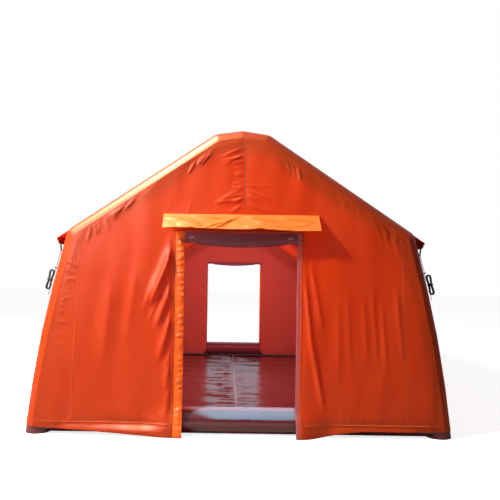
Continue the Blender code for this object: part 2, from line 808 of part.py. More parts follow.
def rear_liner():
    """The inner curtain wall, hung from the rear arch and down over its ground beam."""
    line = offset_line(ARCH_LINE, -TUBE_R - SEAT_GAP)
    reach = leg_x(GROUND_BEAM_Z, 0) - TUBE_R - 0.006
    door = [-DOOR_HALF, DOOR_HALF]
    columns = spaced(-reach, door[0], 6) + spaced(*door, 3)[1:-1] + spaced(door[1], reach, 6)
    straight = 2 * TUBE_R + LINER_SLACK
    rows = spaced(LINER_HEM_Z, straight, 2) + spaced(straight, straight + LINER_EASE, 2)[1:]
    rows += spaced(straight + LINER_EASE, LINER_DOOR_TOP, 3)[1:]
    rows += spaced(LINER_DOOR_TOP, RIDGE_Z - TUBE_R, 3)[1:]
    bm = sheet(columns, rows, lambda x, z: (x, 0, z))
    delete_door(bm, *door, LINER_DOOR_TOP)
    trim(bm, line)
    sides = normals(line)
    for vert in bm.verts:
        spot = Vector((vert.co.x, vert.co.z))
        inset = min((start - spot).dot(side) for start, side in zip(line, sides))
        over_beam = 1 - smooth((vert.co.z - straight) / LINER_EASE)
        share = max(smooth(inset / LINER_RETURN), over_beam)
        vert.co.y = ARCH_Y - SEAT_GAP - CLOTH_T - (TUBE_R - CLOTH_T / 2) * share
        if abs(abs(vert.co.x) - DOOR_HALF) < 1e-6 and vert.co.z < LINER_HEM_Z + 1e-6:
            vert.co.x += math.copysign(LINER_CORNER, vert.co.x)
            vert.co.z += LINER_CORNER_LIFT
    face_towards(bm, (0, -1, 0))
    thicken(add_part("rear_liner", bm, "liner"), offset=-1)


def groundsheet(cutters):
    """The floor, tucked under the ground beams and notched round the legs."""
    half_x = leg_x(GROUND_BEAM_Z, 0) - FLOOR_TUCK
    half_y = ARCH_Y - FLOOR_TUCK
    bm = bmesh.new()
    bmesh.ops.create_cube(bm, size=1)
    bm.transform(Matrix.Diagonal((2 * half_x, 2 * half_y, CLOTH_T, 1)))
    bm.transform(Matrix.Translation((0, 0, CLOTH_T / 2)))
    part = add_part("groundsheet", bm, "floor")
    for cutter in cutters.values():
        cut(part, cutter)


# Guy points: local axes are out from the side wall, along the tent and up the wall


def guy_frame(side, y):
    """Matrix from a guy point's local axes to the world, on one side of the tent."""
    x = leg_x(GUY_Z, OUTER_R)
    index = RIGHT_EAVE_INDEX
    while ARCH_LINE[index + 1].y > GUY_Z:
        index += 1
    normal = normals(ARCH_LINE)[index]
    out = Vector((normal.x, 0, normal.y))
    up = Vector((-normal.y, 0, normal.x))
    along = Vector((0, 1, 0))
    matrix = Matrix((out, along, up)).transposed().to_4x4()
    matrix.translation = Vector((x, y, GUY_Z))
    return Matrix.Diagonal((side, 1, 1, 1)) @ matrix


def place_in(bm, matrix):
    """Moves a mesh by a matrix that may mirror it, and keeps its faces outwards."""
    bm.transform(matrix)
    if matrix.determinant() < 0:
        bmesh.ops.reverse_faces(bm, faces=bm.faces)


def arc(centre, radius, start, end, count):
    """Points on an arc in a plane, angles in radians."""
    points = []
    for angle in spaced(start, end, count):
        points.append((centre[0] + radius * math.cos(angle), centre[1] + radius * math.sin(angle)))
    return points


def guy_strap(name, side, y, tip, hem):
    """A strap from inside the valance to the loop that holds the ring."""
    matrix = guy_frame(1, y)
    loop_r = RING_WIRE_R + RING_CLEARANCE + TIE_T / 2
    pivot = matrix @ Vector((GUY_STANDOFF, 0, 0))
    inside = Vector((-math.cos(VALANCE_LEAN), math.sin(VALANCE_LEAN)))
    lie = inside * (SEAT_GAP + TIE_T / 2)
    start = hem + (tip - hem) * 0.45 + lie
    end = hem + lie
    centre = Vector((pivot.x, pivot.z))
    towards = end - centre
    first = math.atan2(towards.y, towards.x) - math.acos(loop_r / towards.length)
    loop = arc(centre, loop_r, first, first - GUY_STRAP_WRAP, 12)
    path = [start, end] + [Vector(point) for point in loop]
    width = [y - GUY_STRAP_W / 2, y + GUY_STRAP_W / 2]
    bm = sheet(width, path, lambda place, spot: (spot.x, place, spot.y))
    place_in(bm, Matrix.Diagonal((side, 1, 1, 1)))
    return thicken(add_part(name, bm, "webbing"), TIE_T, 0)


def ring_points():
    """The D-ring's wire: a straight bar with a half round hanging from it."""
    corner = 0.0035
    points = [(-RING_R + corner, 0), (RING_R - corner, 0)]
    points += arc((RING_R - corner, -corner), corner, math.pi / 4, 0, 1)
    points += arc((0, -RING_SIDE - corner), RING_R, 0, -math.pi, 10)
    points += arc((-RING_R + corner, -corner), corner, math.pi, math.pi * 0.75, 1)
    return [(GUY_STANDOFF, along, up) for along, up in points]


RING_DROP = RING_R + RING_SIDE + 0.0035
STRAND_IN = GUY_STANDOFF - CORD_LOOP_R
STRAND_OUT = GUY_STANDOFF + CORD_LOOP_R


def guy_line_points():
    """The cord from its knot below the slider, through the ring and back down."""
    loop_z = -RING_DROP - CORD_LOOP_R + CORD_R + RING_WIRE_R + SEAT_GAP
    points = [(STRAND_IN, 0, -SLIDER_DROP - 0.02)]
    points += [(STRAND_IN, 0, -SLIDER_DROP * share) for share in (1.0, 0.85, 0.65, 0.45, 0.3)]
    loop = arc((GUY_STANDOFF, loop_z), CORD_LOOP_R, math.pi, 0, 10)
    points += [(out, 0, up) for out, up in loop]
    points += [(STRAND_OUT, 0, -SLIDER_DROP * share) for share in (0.3, 0.45, 0.65, 0.85, 1.0)]
    points.append((STRAND_OUT, 0, -HANK_TOP + SEAT_GAP))
    return points


HANK_TOP = SLIDER_DROP + SLIDER_HEIGHT / 2 + HANK_TOP_GAP
HANK_TURNS = HANK_TURNS_PER_LAYER * HANK_LAYERS
HANK_RUN = HANK_LENGTH - 2 * HANK_OUTER_R - 2 * CORD_R


def hank_radius(turns):
    """Half width of the hank at a count of turns: in, out, in and out again."""
    layer = min(int(turns / HANK_TURNS_PER_LAYER), HANK_LAYERS - 1)
    into = turns - layer * HANK_TURNS_PER_LAYER
    inner = HANK_OUTER_R - HANK_TURNS_PER_LAYER * HANK_STEP
    if layer % 2 == 0:
        return HANK_OUTER_R - HANK_STEP * into
    return inner + HANK_STEP * into


def hank_point(turns):
    """A point of the hank in the guy point's local axes."""
    radius = hank_radius(turns)
    layer = min(int(turns / HANK_TURNS_PER_LAYER + 1e-9), HANK_LAYERS - 1)
    into = turns - layer * HANK_TURNS_PER_LAYER
    climb = math.sin(math.pi / 2 * min(into / 0.25, 1)) if layer else 1.0
    depth = HANK_LAYER_STEP * (layer - 1 + climb if layer else 0)
    share = (turns % 1) * 4
    quarter = int(share)
    share -= quarter
    half_run = HANK_RUN / 2
    if quarter in (0, 2):
        down = half_run - HANK_RUN * share
        waist = HANK_WAIST * math.cos(math.pi / 2 * min(abs(down) / HANK_WAIST_REACH, 1)) ** 2
        along = radius - waist
        if quarter == 2:
            along, down = -along, -down
    else:
        angle = -math.pi * share if quarter == 1 else math.pi * (1 - share)
        along = radius * math.cos(angle)
        down = radius * math.sin(angle) + (-half_run if quarter == 1 else half_run)
    top = -HANK_TOP - HANK_OUTER_R - CORD_R
    return (STRAND_OUT + HANK_OUTER_R - along, -depth, top + down - half_run)


def hank_points():
    """One unbroken cord: a straight lead in, the turns, and a tail that hangs out."""
    count = round(HANK_TURNS * HANK_POINTS)
    points = [hank_point(i / HANK_POINTS) for i in range(count)]
    lead = (STRAND_OUT, 0, -HANK_TOP)
    extra = [hank_point(HANK_TURNS + 1e-6 + i / HANK_POINTS) for i in range(7)]
    tail = [(extra[-1][0], extra[-1][1], extra[-1][2] - HANK_TAIL * share) for share in (0.5, 1)]
    return [lead] + points + extra + tail


def least_gap(points, diameter, apart):
    """Least surface gap between stretches of a cord that are not neighbours."""
    vectors = [Vector(point) for point in points]
    least = math.inf
    for i in range(len(vectors) - 1):
        for j in range(i + apart, len(vectors) - 1):
            ends = (vectors[j], vectors[j + 1])
            for share in (0, 0.25, 0.5, 0.75):
                spot = vectors[i].lerp(vectors[i + 1], share)
                run = ends[1] - ends[0]
                along = max(0, min(1, (spot - ends[0]).dot(run) / run.length_squared))
                least = min(least, (ends[0] + run * along - spot).length)
    return least - diameter


def slider_bmesh():
    """A guy-line runner: a rounded bar with three holes across it."""
    bm = bmesh.new()
    bmesh.ops.create_cube(bm, size=1)
    bm.transform(Matrix.Diagonal((SLIDER_LENGTH, SLIDER_WIDTH, SLIDER_HEIGHT, 1)))
    upright = [edge for edge in bm.edges if abs(edge.verts[0].co.z - edge.verts[1].co.z) > 1e-6]
    bmesh.ops.bevel(
        bm, geom=upright, offset=0.005, segments=3, profile=0.5, affect="EDGES", material=-1
    )
    middle = SLIDER_WALL_GAP + SLIDER_LENGTH / 2
    bm.transform(Matrix.Translation((middle, 0, -SLIDER_DROP)))
    return bm


def make_guy_line(side, side_name):
    """The front guy line of one side: cord, slider, hank and the hank's tie."""
    matrix = guy_frame(side, -GUY_Y)
    pivot = matrix @ Vector((GUY_STANDOFF, 0, 0))

    def world(points):
        return [matrix @ Vector(point) for point in points]

    wire(f"{side_name}_guy_line", world(guy_line_points()), CORD_R, "cord", pivot)
    hank = world(hank_points())
    wire(f"{side_name}_guy_hank", hank, CORD_R, "cord", pivot, resolution=1)
    gap = least_gap(hank, 2 * CORD_R, 6)
    print(f"{side_name} guy hank: least gap to itself {gap * 1000:.2f} mm")

    bm = slider_bmesh()
    place_in(bm, matrix)
    middle = matrix @ Vector((SLIDER_WALL_GAP + SLIDER_LENGTH / 2, 0, -SLIDER_DROP))
    slider = add_part(f"{side_name}_guy_slider", bm, "black_plastic", middle)
    for number, out in enumerate((STRAND_IN, STRAND_OUT, STRAND_OUT + 0.0105)):
        hole = bmesh.new()
        bmesh.ops.create_cone(
            hole,
            cap_ends=True,
            segments=12,
            radius1=SLIDER_HOLE_R,
            radius2=SLIDER_HOLE_R,
            depth=3 * SLIDER_HEIGHT,
            matrix=Matrix.Translation((out, 0, -SLIDER_DROP)),
        )
        place_in(hole, matrix)
        cut(slider, add_cutter(f"{side_name}_slider_hole_{number}", hole))
    hank_tie(side_name, matrix, pivot)


def hank_tie(side_name, matrix, pivot):
    """A strap wound round the hank's waist."""
    grow = CORD_R + SEAT_GAP + HANK_TIE_T / 2
    half_across = HANK_OUTER_R - HANK_WAIST + HANK_TIE_SLACK + grow
    near = -HANK_LAYER_STEP * (HANK_LAYERS - 1) - grow
    far = grow
    middle = STRAND_OUT + HANK_OUTER_R
    corner = grow
    middle_z = -HANK_TOP - HANK_OUTER_R - CORD_R - HANK_RUN / 2
    path = []
    for out, along, start in (
        (middle + half_across - corner, far - corner, 0),
        (middle - half_across + corner, far - corner, math.pi / 2),
        (middle - half_across + corner, near + corner, math.pi),
        (middle + half_across - corner, near + corner, 1.5 * math.pi),
    ):
        path += arc((out, along), corner, start, start + math.pi / 2, 3)
    path.append(path[0])
    height = [middle_z - HANK_TIE_W / 2, middle_z + HANK_TIE_W / 2]
    bm = sheet(height, path, lambda z, spot: (spot[0], spot[1], z))
    bmesh.ops.remove_doubles(bm, verts=bm.verts, dist=1e-6)
    place_in(bm, matrix)
    thicken(add_part(f"{side_name}_hank_tie", bm, "webbing", pivot), HANK_TIE_T, 0)


def make_guy_points(tip, hem):
    """Straps and rings at the four corners, and the put-away lines at the front."""
    for side, side_name in ((-1, "left"), (1, "right")):
        for place, y in (("front", -GUY_Y), ("rear", GUY_Y)):
            guy_strap(f"{place}_{side_name}_guy_strap", side, y, tip, hem)
            matrix = guy_frame(side, y)
            pivot = matrix @ Vector((GUY_STANDOFF, 0, 0))
            points = [matrix @ Vector(point) for point in ring_points()]
            name = f"{place}_{side_name}_guy_ring"
            wire(name, points, RING_WIRE_R, "steel", pivot, resolution=1, cyclic=True)
        make_guy_line(side, side_name)


# Valves: local Z points from the beam's middle line into the tent


def valve_frame(y):
    """Matrix of a valve on the right ground beam, with Z = 0 at the beam's skin."""
    skin = leg_x(GROUND_BEAM_Z, 0) - GROUND_BEAM_Z
    turn = Matrix.Rotation(-math.pi / 2, 4, "Y")
    return Matrix.Translation((skin, y, GROUND_BEAM_Z)) @ turn


def join(part, other):
    """Adds the other object's volume to the part."""
    boolean = part.modifiers.new("join " + other.name, "BOOLEAN")
    boolean.operation = "UNION"
    boolean.solver = "EXACT"
    boolean.object = other


def box_bmesh(low, high):
    """A box between two corners."""
    low = Vector(low)
    high = Vector(high)
    bm = bmesh.new()
    bmesh.ops.create_cube(bm, size=1)
    bm.transform(Matrix.Diagonal((*(high - low), 1)))
    bm.transform(Matrix.Translation((low + high) / 2))
    return bm


def hinge_pin(radius, half):
    """A pin along Y at the cap's hinge."""
    bm = bmesh.new()
    bmesh.ops.create_cone(
        bm,
        cap_ends=True,
        segments=12,
        radius1=radius,
        radius2=radius,
        depth=2 * half,
    )
    turn = Matrix.Rotation(math.pi / 2, 4, "X")
    bm.transform(Matrix.Translation((VALVE_HINGE_R, 0, VALVE_NECK_H)) @ turn)
    return bm


def filling_valve(beam_cutter):
    """The valve that the tent is filled through: body, sprung stem and hinged cap."""
    frame = valve_frame(VALVE_Y)
    floor = 0.020
    seat_under = 0.016
    body = (
        (0, -0.02),
        (VALVE_FLANGE_R, -0.02),
        (VALVE_FLANGE_R, 0.004),
        (VALVE_NECK_R, 0.008),
        (VALVE_NECK_R, VALVE_NECK_H),
        (VALVE_BORE_R, VALVE_NECK_H),
        (VALVE_BORE_R, floor),
        (VALVE_STEM_R + CLEARANCE, floor),
        (VALVE_STEM_R + CLEARANCE, seat_under),
        (0.012, seat_under),
        (0.012, 0.006),
        (0, 0.006),
    )
    bm = turned(body, 20)
    place_in(bm, frame)
    part = add_part("filling_valve_body", bm, "valve_plastic")
    cut(part, beam_cutter)
    ear_low = VALVE_HINGE_R - VALVE_EAR_DEPTH / 2
    ear_top = VALVE_NECK_H + VALVE_EAR_DEPTH / 2
    for side in (-1, 1):
        low = (ear_low, side * (VALVE_KNUCKLE_HALF + CLEARANCE), 0.002)
        high = (ear_low + VALVE_EAR_DEPTH, side * VALVE_EAR_HALF, ear_top)
        ear = box_bmesh(low, high)
        bmesh.ops.recalc_face_normals(ear, faces=ear.faces)
        place_in(ear, frame)
        join(part, add_cutter(f"valve_ear_{side}", ear))
    hole = hinge_pin(VALVE_PIN_R + SEAT_GAP, 2 * VALVE_EAR_HALF)
    place_in(hole, frame)
    cut(part, add_cutter("valve_pin_hole", hole))

    disc_top = seat_under - SEAT_GAP
    stem = (
        (0, disc_top - 0.003),
        (0.009, disc_top - 0.003),
        (0.009, disc_top),
        (VALVE_STEM_R, disc_top),
        (VALVE_STEM_R, VALVE_NECK_H - 0.005),
        (0, VALVE_NECK_H - 0.004),
    )
    bm = turned(stem, 12)
    place_in(bm, frame)
    add_part("filling_valve_stem", bm, "valve_plastic", frame @ Vector((0, 0, disc_top)))

    seat_z = VALVE_NECK_H + SEAT_GAP
    inner_r = VALVE_CAP_R - 0.003
    cap = (
        (0, seat_z),
        (inner_r, seat_z),
        (inner_r, seat_z - VALVE_CAP_LIP),
        (VALVE_CAP_R, seat_z - VALVE_CAP_LIP),
        (VALVE_CAP_R, seat_z + VALVE_CAP_TOP - 0.001),
        (VALVE_CAP_R - 0.001, seat_z + VALVE_CAP_TOP),
        (0, seat_z + VALVE_CAP_TOP),
    )
    bm = turned(cap, 20)
    place_in(bm, frame)
    hinge = frame @ Vector((VALVE_HINGE_R, 0, VALVE_NECK_H))
    part = add_part("filling_valve_cap", bm, "valve_plastic", hinge)
    low = (VALVE_CAP_R - 0.0015, -VALVE_KNUCKLE_HALF, VALVE_NECK_H - 0.0015)
    knuckle = box_bmesh(low, (VALVE_HINGE_R, VALVE_KNUCKLE_HALF, VALVE_NECK_H + 0.0015))
    barrel = hinge_pin(VALVE_EAR_DEPTH / 2 - SEAT_GAP, VALVE_KNUCKLE_HALF)
    pin = hinge_pin(VALVE_PIN_R, VALVE_EAR_HALF)
    for name, bm in (("knuckle", knuckle), ("barrel", barrel), ("pin", pin)):
        place_in(bm, frame)
        join(part, add_cutter("valve_cap_" + name, bm))


def make_valves():
    """The filling valve and the relief valve, both seated on the beam."""
    spot = Vector((leg_x(GROUND_BEAM_Z, 0), 0, GROUND_BEAM_Z))
    start = spot + Vector((0, VALVE_Y - 2 * VALVE_FLANGE_R, 0))
    end = spot + Vector((0, RELIEF_Y + 2 * VALVE_FLANGE_R, 0))
    seat = tube_bmesh(start, end, TUBE_R + SEAT_GAP, TUBE_SIDES)
    beam_cutter = add_cutter("valve_seat_cutter", seat)
    filling_valve(beam_cutter)

    frame = valve_frame(RELIEF_Y)
    bm = turned(((0, -0.02), (0.03, -0.02), (0.03, 0.004), (RELIEF_R, 0.006), (0, 0.006)), 20)
    place_in(bm, frame)
    part = add_part("relief_valve_body", bm, "valve_plastic")
    cut(part, beam_cutter)
    top = 0.006 + SEAT_GAP
    dome = (
        (0, top),
        (RELIEF_R, top),
        (RELIEF_R, top + 0.6 * RELIEF_H),
        (0.7 * RELIEF_R, top + RELIEF_H),
        (0, top + RELIEF_H),
    )
    bm = turned(dome, 8)
    place_in(bm, frame)
    add_part("relief_valve_cap", bm, "valve_plastic", frame @ Vector((0, 0, top)))


def make_ends():
    """Walls, door strips, rain flaps, rolled curtains, straps and toggles."""
    end_wall("front", 0.085)
    end_wall("rear", 0.17)
    for place in ("front", "rear"):
        door_strip(place, "left" if place == "front" else "right", -DOOR_HALF, -WIDE_EDGE + SEAT_GAP)
        door_strip(place, "right" if place == "front" else "left", DOOR_HALF, NARROW_EDGE - SEAT_GAP)
        awning(place)
        door_roll(place)
        for side, side_name in ((-1, "left"), (1, "right")):
            roll_tie(place, side, side_name)
            toggle(place, side, side_name)


arch_cutters = make_frame()
make_ends()
flap_tip, flap_hem = roof_cover()
side_wall(-1, "left")
side_wall(1, "right")
rear_liner()
groundsheet(arch_cutters)
make_guy_points(flap_tip, flap_hem)
make_valves()
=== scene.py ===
# %% [markdown]
# # An inflatable shelter tent
#
# The tent stands on three air-filled arches, tied together by beams on the
# ground and purlins at the eaves and the ridge. Orange coated cloth is
# stretched over them. Each end wall has a door with a rain flap over it and a
# curtain rolled up under the door head.
#
# The CAD frame holds the sizes and the moving parts. This notebook dresses it:
# each cell says what a piece is on the real tent, and then makes it in the
# same metres and the same axes, so nothing has to be fitted.

# %% Load the frame
import math
import random

import bmesh
import bpy
import numpy as np
from mathutils import Matrix, Vector


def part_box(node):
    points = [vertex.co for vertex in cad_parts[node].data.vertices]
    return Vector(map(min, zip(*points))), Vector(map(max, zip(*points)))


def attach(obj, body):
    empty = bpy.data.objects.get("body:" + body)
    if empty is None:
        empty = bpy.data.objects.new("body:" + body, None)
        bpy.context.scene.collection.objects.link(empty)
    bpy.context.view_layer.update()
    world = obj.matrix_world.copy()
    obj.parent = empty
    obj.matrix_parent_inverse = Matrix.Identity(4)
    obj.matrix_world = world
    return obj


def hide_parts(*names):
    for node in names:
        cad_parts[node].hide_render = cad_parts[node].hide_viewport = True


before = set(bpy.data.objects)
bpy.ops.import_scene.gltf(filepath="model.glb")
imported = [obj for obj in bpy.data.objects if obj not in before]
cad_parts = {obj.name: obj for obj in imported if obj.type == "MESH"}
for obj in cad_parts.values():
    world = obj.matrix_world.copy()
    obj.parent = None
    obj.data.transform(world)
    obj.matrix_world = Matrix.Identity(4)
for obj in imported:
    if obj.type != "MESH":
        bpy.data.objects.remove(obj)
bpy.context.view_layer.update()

# %% [markdown]
# ## Camera
#
# The photographer stood about four metres in front of the door, a little left
# of its middle, with the camera just under eye height. The far door seems to
# shrink towards a point left of the picture's middle, so the camera looks
# straight along the tent and the picture is shifted, not turned. It is only
# rolled by a little less than a degree.

# %% Camera
CAMERA_PLACE = (-0.12, -6.74, 1.47)
CAMERA_ROLL = math.radians(0.85)
FOCAL_MM = 32.2
SHIFT_X = 0.044
SHIFT_Y = 0.064

camera_data = bpy.data.cameras.new("photo_camera")
camera_data.lens = FOCAL_MM
camera_data.sensor_width = 36.0
camera_data.shift_x = SHIFT_X
camera_data.shift_y = SHIFT_Y
camera = bpy.data.objects.new("photo_camera", camera_data)
bpy.context.scene.collection.objects.link(camera)
look_along_y = Matrix.Rotation(math.pi / 2, 4, "X")
roll = Matrix.Rotation(CAMERA_ROLL, 4, "Z")
camera.matrix_world = Matrix.Translation(CAMERA_PLACE) @ look_along_y @ roll
bpy.context.scene.camera = camera
print("camera at", CAMERA_PLACE, "lens", FOCAL_MM)

# %% [markdown]
# ## Sizes
#
# The tent's outline is one line through the middle of the air beams. Cloth
# lies outside the beams, so its surface is that line moved outwards by the
# beam's radius. Keeping the line and one function that moves it lets every
# wall, roof and beam agree. All sizes here and below are in metres.

# %% Sizes that the CAD frame has
LENGTH = 5.0
FOOT_HALF = 1.942
EAVE_HALF = 1.57
EAVE_Z = 1.878
RIDGE_HALF = 0.215
RIDGE_Z = 2.78
RIDGE_CROWN = 0.03
LEG_BOW = 0.04
LEG_STEPS = 4
TUBE_R = 0.125
PURLIN_R = 0.08
SEAT_GAP = 0.0003
CAD_CLOTH_T = 0.003
SKIN_R = TUBE_R + SEAT_GAP
OUTER_R = SKIN_R + CAD_CLOTH_T
ARCH_Y = LENGTH / 2 - OUTER_R
WALL_INSIDE = LENGTH / 2 - CAD_CLOTH_T
GROUND_BEAM_Z = TUBE_R * math.cos(math.pi / 16)

DOOR_HALF = 0.535
DOOR_TOP = 1.94
WIDE_STRIP = 0.085
NARROW_STRIP = 0.035
WIDE_EDGE = DOOR_HALF + WIDE_STRIP + SEAT_GAP
NARROW_EDGE = DOOR_HALF + NARROW_STRIP + SEAT_GAP
DOOR_BORDER = 0.02
CLOTH_T = 0.0022
SIDES = ((-1, "left"), (1, "right"))


def centre_line():
    """Middle line of an arch, as (x, z) from the left foot to the right foot."""
    half = []
    for i in range(LEG_STEPS + 1):
        share = i / LEG_STEPS
        x = FOOT_HALF + (EAVE_HALF - FOOT_HALF) * share + LEG_BOW * math.sin(math.pi * share)
        half.append(Vector((x, EAVE_Z * share)))
    half.append(Vector((RIDGE_HALF, RIDGE_Z)))
    left = [Vector((-point.x, point.y)) for point in half]
    return left + [Vector((0, RIDGE_Z + RIDGE_CROWN))] + half[::-1]


def normals(line):
    """Unit outward normal of each run of the line."""
    runs = [(end - start).normalized() for start, end in zip(line, line[1:])]
    return [Vector((-run.y, run.x)) for run in runs]


def mitres(line):
    """Vector at each point that keeps both its runs at unit distance."""
    sides = normals(line)
    inner = [(a + b) / (1 + a.dot(b)) for a, b in zip(sides, sides[1:])]
    return [sides[0]] + inner + [sides[-1]]


def offset_line(line, distance):
    """The line moved outwards, with its corners mitred."""
    return [point + mitre * distance for point, mitre in zip(line, mitres(line))]


ARCH_LINE = centre_line()
RIGHT_EAVE = len(ARCH_LINE) - 1 - LEG_STEPS


def leg_x(z, distance):
    """How far out the right leg's line, moved out by distance, lies at a height."""
    line = offset_line(ARCH_LINE, distance)[RIGHT_EAVE:]
    for upper, lower in zip(line, line[1:]):
        if z >= lower.y or lower is line[-1]:
            share = (upper.y - z) / (upper.y - lower.y)
            return upper.x + (lower.x - upper.x) * share


def spaced(start, end, count):
    """Evenly spaced values from start to end, both included."""
    return [start + (end - start) * i / count for i in range(count + 1)]


def smooth(value):
    """Rises smoothly from 0 to 1 as value does, for numbers and arrays."""
    value = np.clip(value, 0.0, 1.0)
    return value * value * (3 - 2 * value)


print("outline of", len(ARCH_LINE), "points, its feet", 2 * FOOT_HALF, "m apart")

# %% [markdown]
# ## Guy points and cords
#
# Under each eave a webbing strap holds a steel ring, and a black guy line is
# tied up there for the photograph: it runs through the ring and a plastic
# slider, and the rest is wound into a small hank. A cord is a fixed length of
# something flexible, so its route comes first, in the guy point's own axes:
# out from the wall, along the tent, and up the wall.

# %% The guy points' axes
GUY_Z = 1.745
GUY_INSET = 0.04
GUY_STANDOFF = 0.026
GUY_Y = ARCH_Y - GUY_INSET
GUY_PLACES = (("front", -GUY_Y), ("rear", GUY_Y))


def guy_frame(side, y):
    """Matrix from a guy point's local axes to the tent's, on one side."""
    index = RIGHT_EAVE
    while ARCH_LINE[index + 1].y > GUY_Z:
        index += 1
    normal = normals(ARCH_LINE)[index]
    out = Vector((normal.x, 0, normal.y))
    up = Vector((-normal.y, 0, normal.x))
    matrix = Matrix((out, Vector((0, 1, 0)), up)).transposed().to_4x4()
    matrix.translation = Vector((leg_x(GUY_Z, OUTER_R), y, GUY_Z))
    return Matrix.Diagonal((side, 1, 1, 1)) @ matrix


def arc(centre, radius, start, end, count):
    """Points on an arc in a plane, angles in radians."""
    return [
        (centre[0] + radius * math.cos(angle), centre[1] + radius * math.sin(angle))
        for angle in spaced(start, end, count)
    ]


print("right guy point at", [round(v, 3) for v in guy_frame(1, -GUY_Y).translation])

# %% [markdown]
# The hank is one unbroken cord. It spirals inwards for two and a half turns,
# climbs a layer where the spiral turns back, spirals out again, and so on for
# four layers. Its runs draw in at the waist, where the tie holds them.

# %% Route of the guy line and its hank
CORD_R = 0.0025
KNOT_R = 0.0045
CORD_LOOP_R = 0.010
RING_WIRE_R = 0.0025
RING_R = 0.020
RING_SIDE = 0.004
RING_CORNER = 0.0035
RING_DROP = RING_R + RING_SIDE + RING_CORNER
SLIDER_DROP = 0.175
SLIDER_HEIGHT = 0.009
STRAND_IN = GUY_STANDOFF - CORD_LOOP_R
STRAND_OUT = GUY_STANDOFF + CORD_LOOP_R
HANK_TOP = SLIDER_DROP + SLIDER_HEIGHT / 2 + 0.014
HANK_LENGTH = 0.21
TURNS_PER_LAYER = 2.5
HANK_LAYERS = 4
HANK_POINTS = 24
HANK_OUTER_R = 0.0240
HANK_STEP = 0.0058
HANK_LAYER_STEP = 0.0056
HANK_WAIST = 0.006
HANK_WAIST_REACH = 0.06
HANK_TAIL = 0.06
HANK_RUN = HANK_LENGTH - 2 * HANK_OUTER_R - 2 * CORD_R


def guy_line_points():
    """The cord from its knot below the slider, through the ring and back down."""
    loop_z = -RING_DROP - CORD_LOOP_R + CORD_R + RING_WIRE_R + SEAT_GAP
    shares = (1.0, 0.85, 0.65, 0.45, 0.3)
    points = [(STRAND_IN, 0, -SLIDER_DROP - 0.02)]
    points += [(STRAND_IN, 0, -SLIDER_DROP * share) for share in shares]
    loop = arc((GUY_STANDOFF, loop_z), CORD_LOOP_R, math.pi, 0, 10)
    points += [(out, 0, up) for out, up in loop]
    points += [(STRAND_OUT, 0, -SLIDER_DROP * share) for share in shares[::-1]]
    return points


def hank_point(turns):
    """A point of the hank after a number of turns."""
    layer = min(int(turns / TURNS_PER_LAYER + 1e-9), HANK_LAYERS - 1)
    into = turns - layer * TURNS_PER_LAYER
    radius = HANK_OUTER_R - HANK_STEP * into
    if layer % 2:
        radius = HANK_OUTER_R - HANK_STEP * (TURNS_PER_LAYER - into)
    climb = math.sin(math.pi / 2 * min(into / 0.25, 1)) if layer else 1.0
    depth = HANK_LAYER_STEP * (layer - 1 + climb if layer else 0)
    quarter, share = divmod((turns % 1) * 4, 1)
    half_run = HANK_RUN / 2
    if quarter in (0, 2):
        down = half_run - HANK_RUN * share
        waist = HANK_WAIST * math.cos(math.pi / 2 * min(abs(down) / HANK_WAIST_REACH, 1)) ** 2
        along = radius - waist
        if quarter == 2:
            along, down = -along, -down
    else:
        angle = -math.pi * share if quarter == 1 else math.pi * (1 - share)
        along = radius * math.cos(angle)
        down = radius * math.sin(angle) + (-half_run if quarter == 1 else half_run)
    top = -HANK_TOP - HANK_OUTER_R - CORD_R
    return (STRAND_OUT + HANK_OUTER_R - along, -depth, top + down - half_run)


def hank_points():
    """The hank's turns and the tail that hangs out of them."""
    turns = TURNS_PER_LAYER * HANK_LAYERS
    points = [hank_point(i / HANK_POINTS) for i in range(round(turns * HANK_POINTS))]
    extra = [hank_point(turns + 1e-6 + i / HANK_POINTS) for i in range(7)]
    last = extra[-1]
    tail = [(last[0], last[1], last[2] - HANK_TAIL * share) for share in (0.5, 1)]
    return [(STRAND_OUT, 0, -HANK_TOP)] + points + extra + tail


def run_lengths(points):
    """Length of each run of a line through points."""
    return [(Vector(b) - Vector(a)).length for a, b in zip(points, points[1:])]


def path_length(points):
    """Length of a line through points."""
    return sum(run_lengths(points))


def lengths_along(points):
    """How far along a line each of its points lies."""
    return np.cumsum([0.0] + run_lengths(points))


guy_route = guy_line_points() + hank_points()
print("guy line", round(path_length(guy_route), 3), "m long")

# %% [markdown]
# ## Making things from rings and grids
#
# A tube is a row of circles, each set square to the path and bridged to the
# next. A cloth is a grid whose columns and rows are moved to where the seams
# are. Both start from one of bmesh's own shapes, so their faces come out in
# order and only their points have to be placed.

# %% Helpers for tubes


def ring_matrices(path):
    """A matrix at each point of a path, its Z along the path, turned as little as possible."""
    points = [Vector(point) for point in path]
    runs = [(b - a).normalized() for a, b in zip(points, points[1:])]
    tangents = [runs[0]] + [(a + b).normalized() for a, b in zip(runs, runs[1:])] + [runs[-1]]
    side = tangents[0].orthogonal().normalized()
    matrices = []
    for point, tangent in zip(points, tangents):
        side = (side - tangent * side.dot(tangent)).normalized()
        matrix = Matrix((side, tangent.cross(side), tangent)).transposed().to_4x4()
        matrix.translation = point
        matrices.append(matrix)
    return matrices


def tube_from_rings(matrices, radius, sides):
    """Circles at the given matrices, bridged one to the next and capped."""
    bm = bmesh.new()
    loops = []
    for matrix in matrices:
        circle = bmesh.ops.create_circle(bm, segments=sides, radius=radius, matrix=matrix)
        loops.append(list({edge for vert in circle["verts"] for edge in vert.link_edges}))
    for first, second in zip(loops, loops[1:]):
        bmesh.ops.bridge_loops(bm, edges=first + second)
    bmesh.ops.holes_fill(bm, edges=loops[0] + loops[-1])
    bmesh.ops.recalc_face_normals(bm, faces=bm.faces)
    return bm


